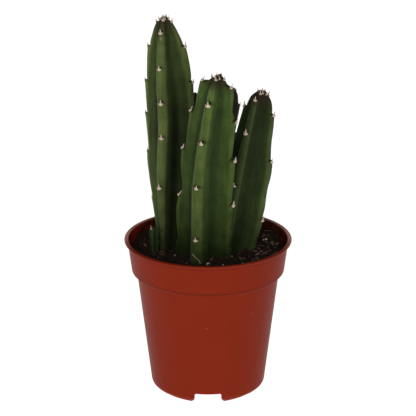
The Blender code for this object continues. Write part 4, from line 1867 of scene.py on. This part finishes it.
def all_stems() -> list[RibbedStem]:
    """Lists the stems of the plant.

    Returns:
        The three main stems, the two behind them and the young one.
    """
    # The pale colour beside these crests is a painted highlight.
    behind = SucculentSkin("young_purple_stem_epidermis", crest="#4C503A", face="#3C4030",
                           groove="#30332A", young="#3A2A26", crest_highlight_colour="#6A6458")
    back_stem = partial(
        RibbedStem, slot="stem_back_skin", skin=behind, bow=0.0, twist=0.0,
        first_pair=RibPair.LEFT_AND_RIGHT, step_growth=0.0020, wander=0.0006, columns=88,
        row_step=0.0008, leaf_scale=0.6, leaf_tones=(0.2, 0.2, 0.2, 0.2), crown_tone=0.2,
        young_depth=0.0180)
    return [
        RibbedStem(
            name="stem_tall", slot="stem_tall_skin",
            skin=SucculentSkin("tall_stem_epidermis", crest="#5D6B39", face="#3A4524",
                               groove="#252E18"),
            foot=(-0.0249, 0.0020), lean=(0.066, -0.017), bow=-0.53, top=0.2401,
            rib_turn=-31.0, twist=83.0, radii=(0.0080, 0.0166, 0.0158, 0.0121, 0.0079, 0.0034),
            ledges=(0.0006, 0.0016), first_pair=RibPair.LEFT_AND_RIGHT, first_tooth=0.2388,
            tooth_step=0.00804, step_growth=0.00079, wander=0.0036, seed=289471,
            leaf_sizes=(1.0, 0.9, 0.9, 0.62), leaf_tones=(0.95, 0.85, 0.9, 0.25),
            bare_foot=0.0150, even_top=0.42, young_depth=0.0125, sway=(5.5, 0.56, 0.17),
            shade_at_foot=(0.49, 0.26, 0.8, 1.55), shade_midway=(0.78, 0.50, 0.8, 1.0),
            shade_at_top=(0.74, 0.86, 1.0, 1.10), marks=((0.2296, 0.0, 0.0010),),
            dips=(StemPatch(0.2120, 0.0130, 90.0, 28.0, -0.0007),
                  StemPatch(0.1620, 0.0110, -90.0, 28.0, 0.0006)),
            dark_gaps=(StemPatch(0.1520, 0.0320, 32.0, 17.0, 0.52),)),
        RibbedStem(
            name="stem_front", slot="stem_front_skin",
            skin=SucculentSkin("front_stem_epidermis", crest="#4D5E2B", face="#3A4B22",
                               groove="#2D3C1E"),
            foot=(-0.0033, -0.0143), lean=(0.022, -0.186), bow=0.47, top=0.2133,
            rib_turn=-13.2, twist=-48.0, radii=(0.0181, 0.0184, 0.0158, 0.0128, 0.0108, 0.0046),
            ledges=(0.0008, 0.0036), first_pair=RibPair.FRONT_AND_BACK, first_tooth=0.2157,
            tooth_step=0.00784, step_growth=0.00141, wander=0.0015, seed=166398,
            leaf_leans=(0.3, 0.2, 0.3, -0.35), sway=(-4.5, 0.50, 0.28), young_depth=0.0080,
            shade_at_foot=(0.60, 0.52, 0.8, 0.45), shade_midway=(0.86, 0.76, 0.8, 0.78),
            shade_at_top=(1.0, 0.95, 1.0, 1.15),
            dips=(StemPatch(0.2131, 0.0014, -90.0, 30.0, 0.0028),
                  StemPatch(0.2097, 0.0009, -96.0, 36.0, 0.0024),
                  StemPatch(0.2088, 0.0020, 90.0, 30.0, 0.0009),
                  StemPatch(0.1895, 0.0022, 90.0, 28.0, -0.0015),
                  StemPatch(0.1380, 0.0098, -90.0, 28.0, 0.0021),
                  StemPatch(0.1010, 0.0080, -90.0, 28.0, 0.0012))),
        RibbedStem(
            name="stem_right", slot="stem_right_skin",
            skin=SucculentSkin("right_stem_epidermis", crest="#3A4525", face="#263017",
                               groove="#232C18", mark="#4E2820"),
            foot=(0.0165, 0.0030), lean=(0.178, -0.040), bow=-0.10, top=0.1940,
            rib_turn=-25.4, twist=-70.0, radii=(0.0148, 0.0167, 0.0135, 0.0107, 0.0084, 0.0036),
            ledges=(0.0006, 0.0019), first_pair=RibPair.FRONT_AND_BACK, first_tooth=0.1900,
            tooth_step=0.00883, step_growth=0.00315, wander=0.0014, seed=259069,
            leaf_leans=(0.3, 0.05, 0.3, 0.2),
            shade_at_foot=(1.05, 1.65, 1.0, 0.90), shade_midway=(0.88, 1.36, 1.0, 0.90),
            shade_at_top=(0.95, 1.0, 1.0, 1.0), marks=((0.1345, 26.0, 0.0009),),
            dips=(StemPatch(0.1640, 0.0090, 90.0, 28.0, 0.0005),
                  StemPatch(0.1345, 0.0085, 90.0, 28.0, 0.0011))),
        back_stem(
            name="stem_back_left", foot=(-0.0100, 0.0240), lean=(0.020, 0.0), top=0.1856,
            rib_turn=35.0, radii=(0.0060, 0.0064, 0.0064, 0.0056, 0.0045, 0.0020),
            ledges=(0.0005, 0.0010), first_tooth=0.1816, tooth_step=0.0090, seed=3),
        back_stem(
            name="stem_back_right", foot=(0.0031, 0.0270), lean=(0.136, 0.0), top=0.1879,
            rib_turn=-10.0, radii=(0.0055, 0.0060, 0.0061, 0.0057, 0.0046, 0.0020),
            ledges=(0.0005, 0.0012), first_tooth=0.1784, tooth_step=0.0085, seed=5),
        RibbedStem(
            name="stem_pup", slot="stem_pup_skin",
            skin=SucculentSkin("young_stem_epidermis", crest="#3C4A2A", face="#2E3A20",
                               groove="#222B18"),
            foot=(-0.0338, -0.0064), lean=(0.0, 0.0), bow=0.0, top=0.1078,
            rib_turn=-20.0, twist=0.0, radii=(0.0031, 0.0034, 0.0034, 0.0030, 0.0023, 0.0011),
            ledges=(0.0003, 0.0005), first_pair=RibPair.FRONT_AND_BACK, first_tooth=0.1043,
            tooth_step=0.0050, step_growth=0.0, wander=0.0, seed=1,
            columns=64, row_step=0.0005, bare_foot=0.0200, young_depth=0.0015,
            crown=((1, 1.35, 0.9, -50.0),), crown_tone=0.5, crest_highlights=(0.1, 0.0, 0.0, 0.0)),
    ]


def main() -> None:
    """Builds every piece in order and sets up the studio."""
    logging.basicConfig(level=logging.INFO, format="%(name)s: %(message)s")
    stems = all_stems()
    pot = NurseryPot()
    pieces = pot.build()
    template = LeafRudiment().template()
    leaf_finish = DriedLeaf().make()
    for stem in stems:
        pieces += stem.build(template, leaf_finish)
    pieces += PeatBed(pot, stems).build()
    for piece in pieces:
        LOG.info("%s: %d faces", piece.name, len(piece.data.polygons))
    Studio().build()


if __name__ == "__main__":
    main()
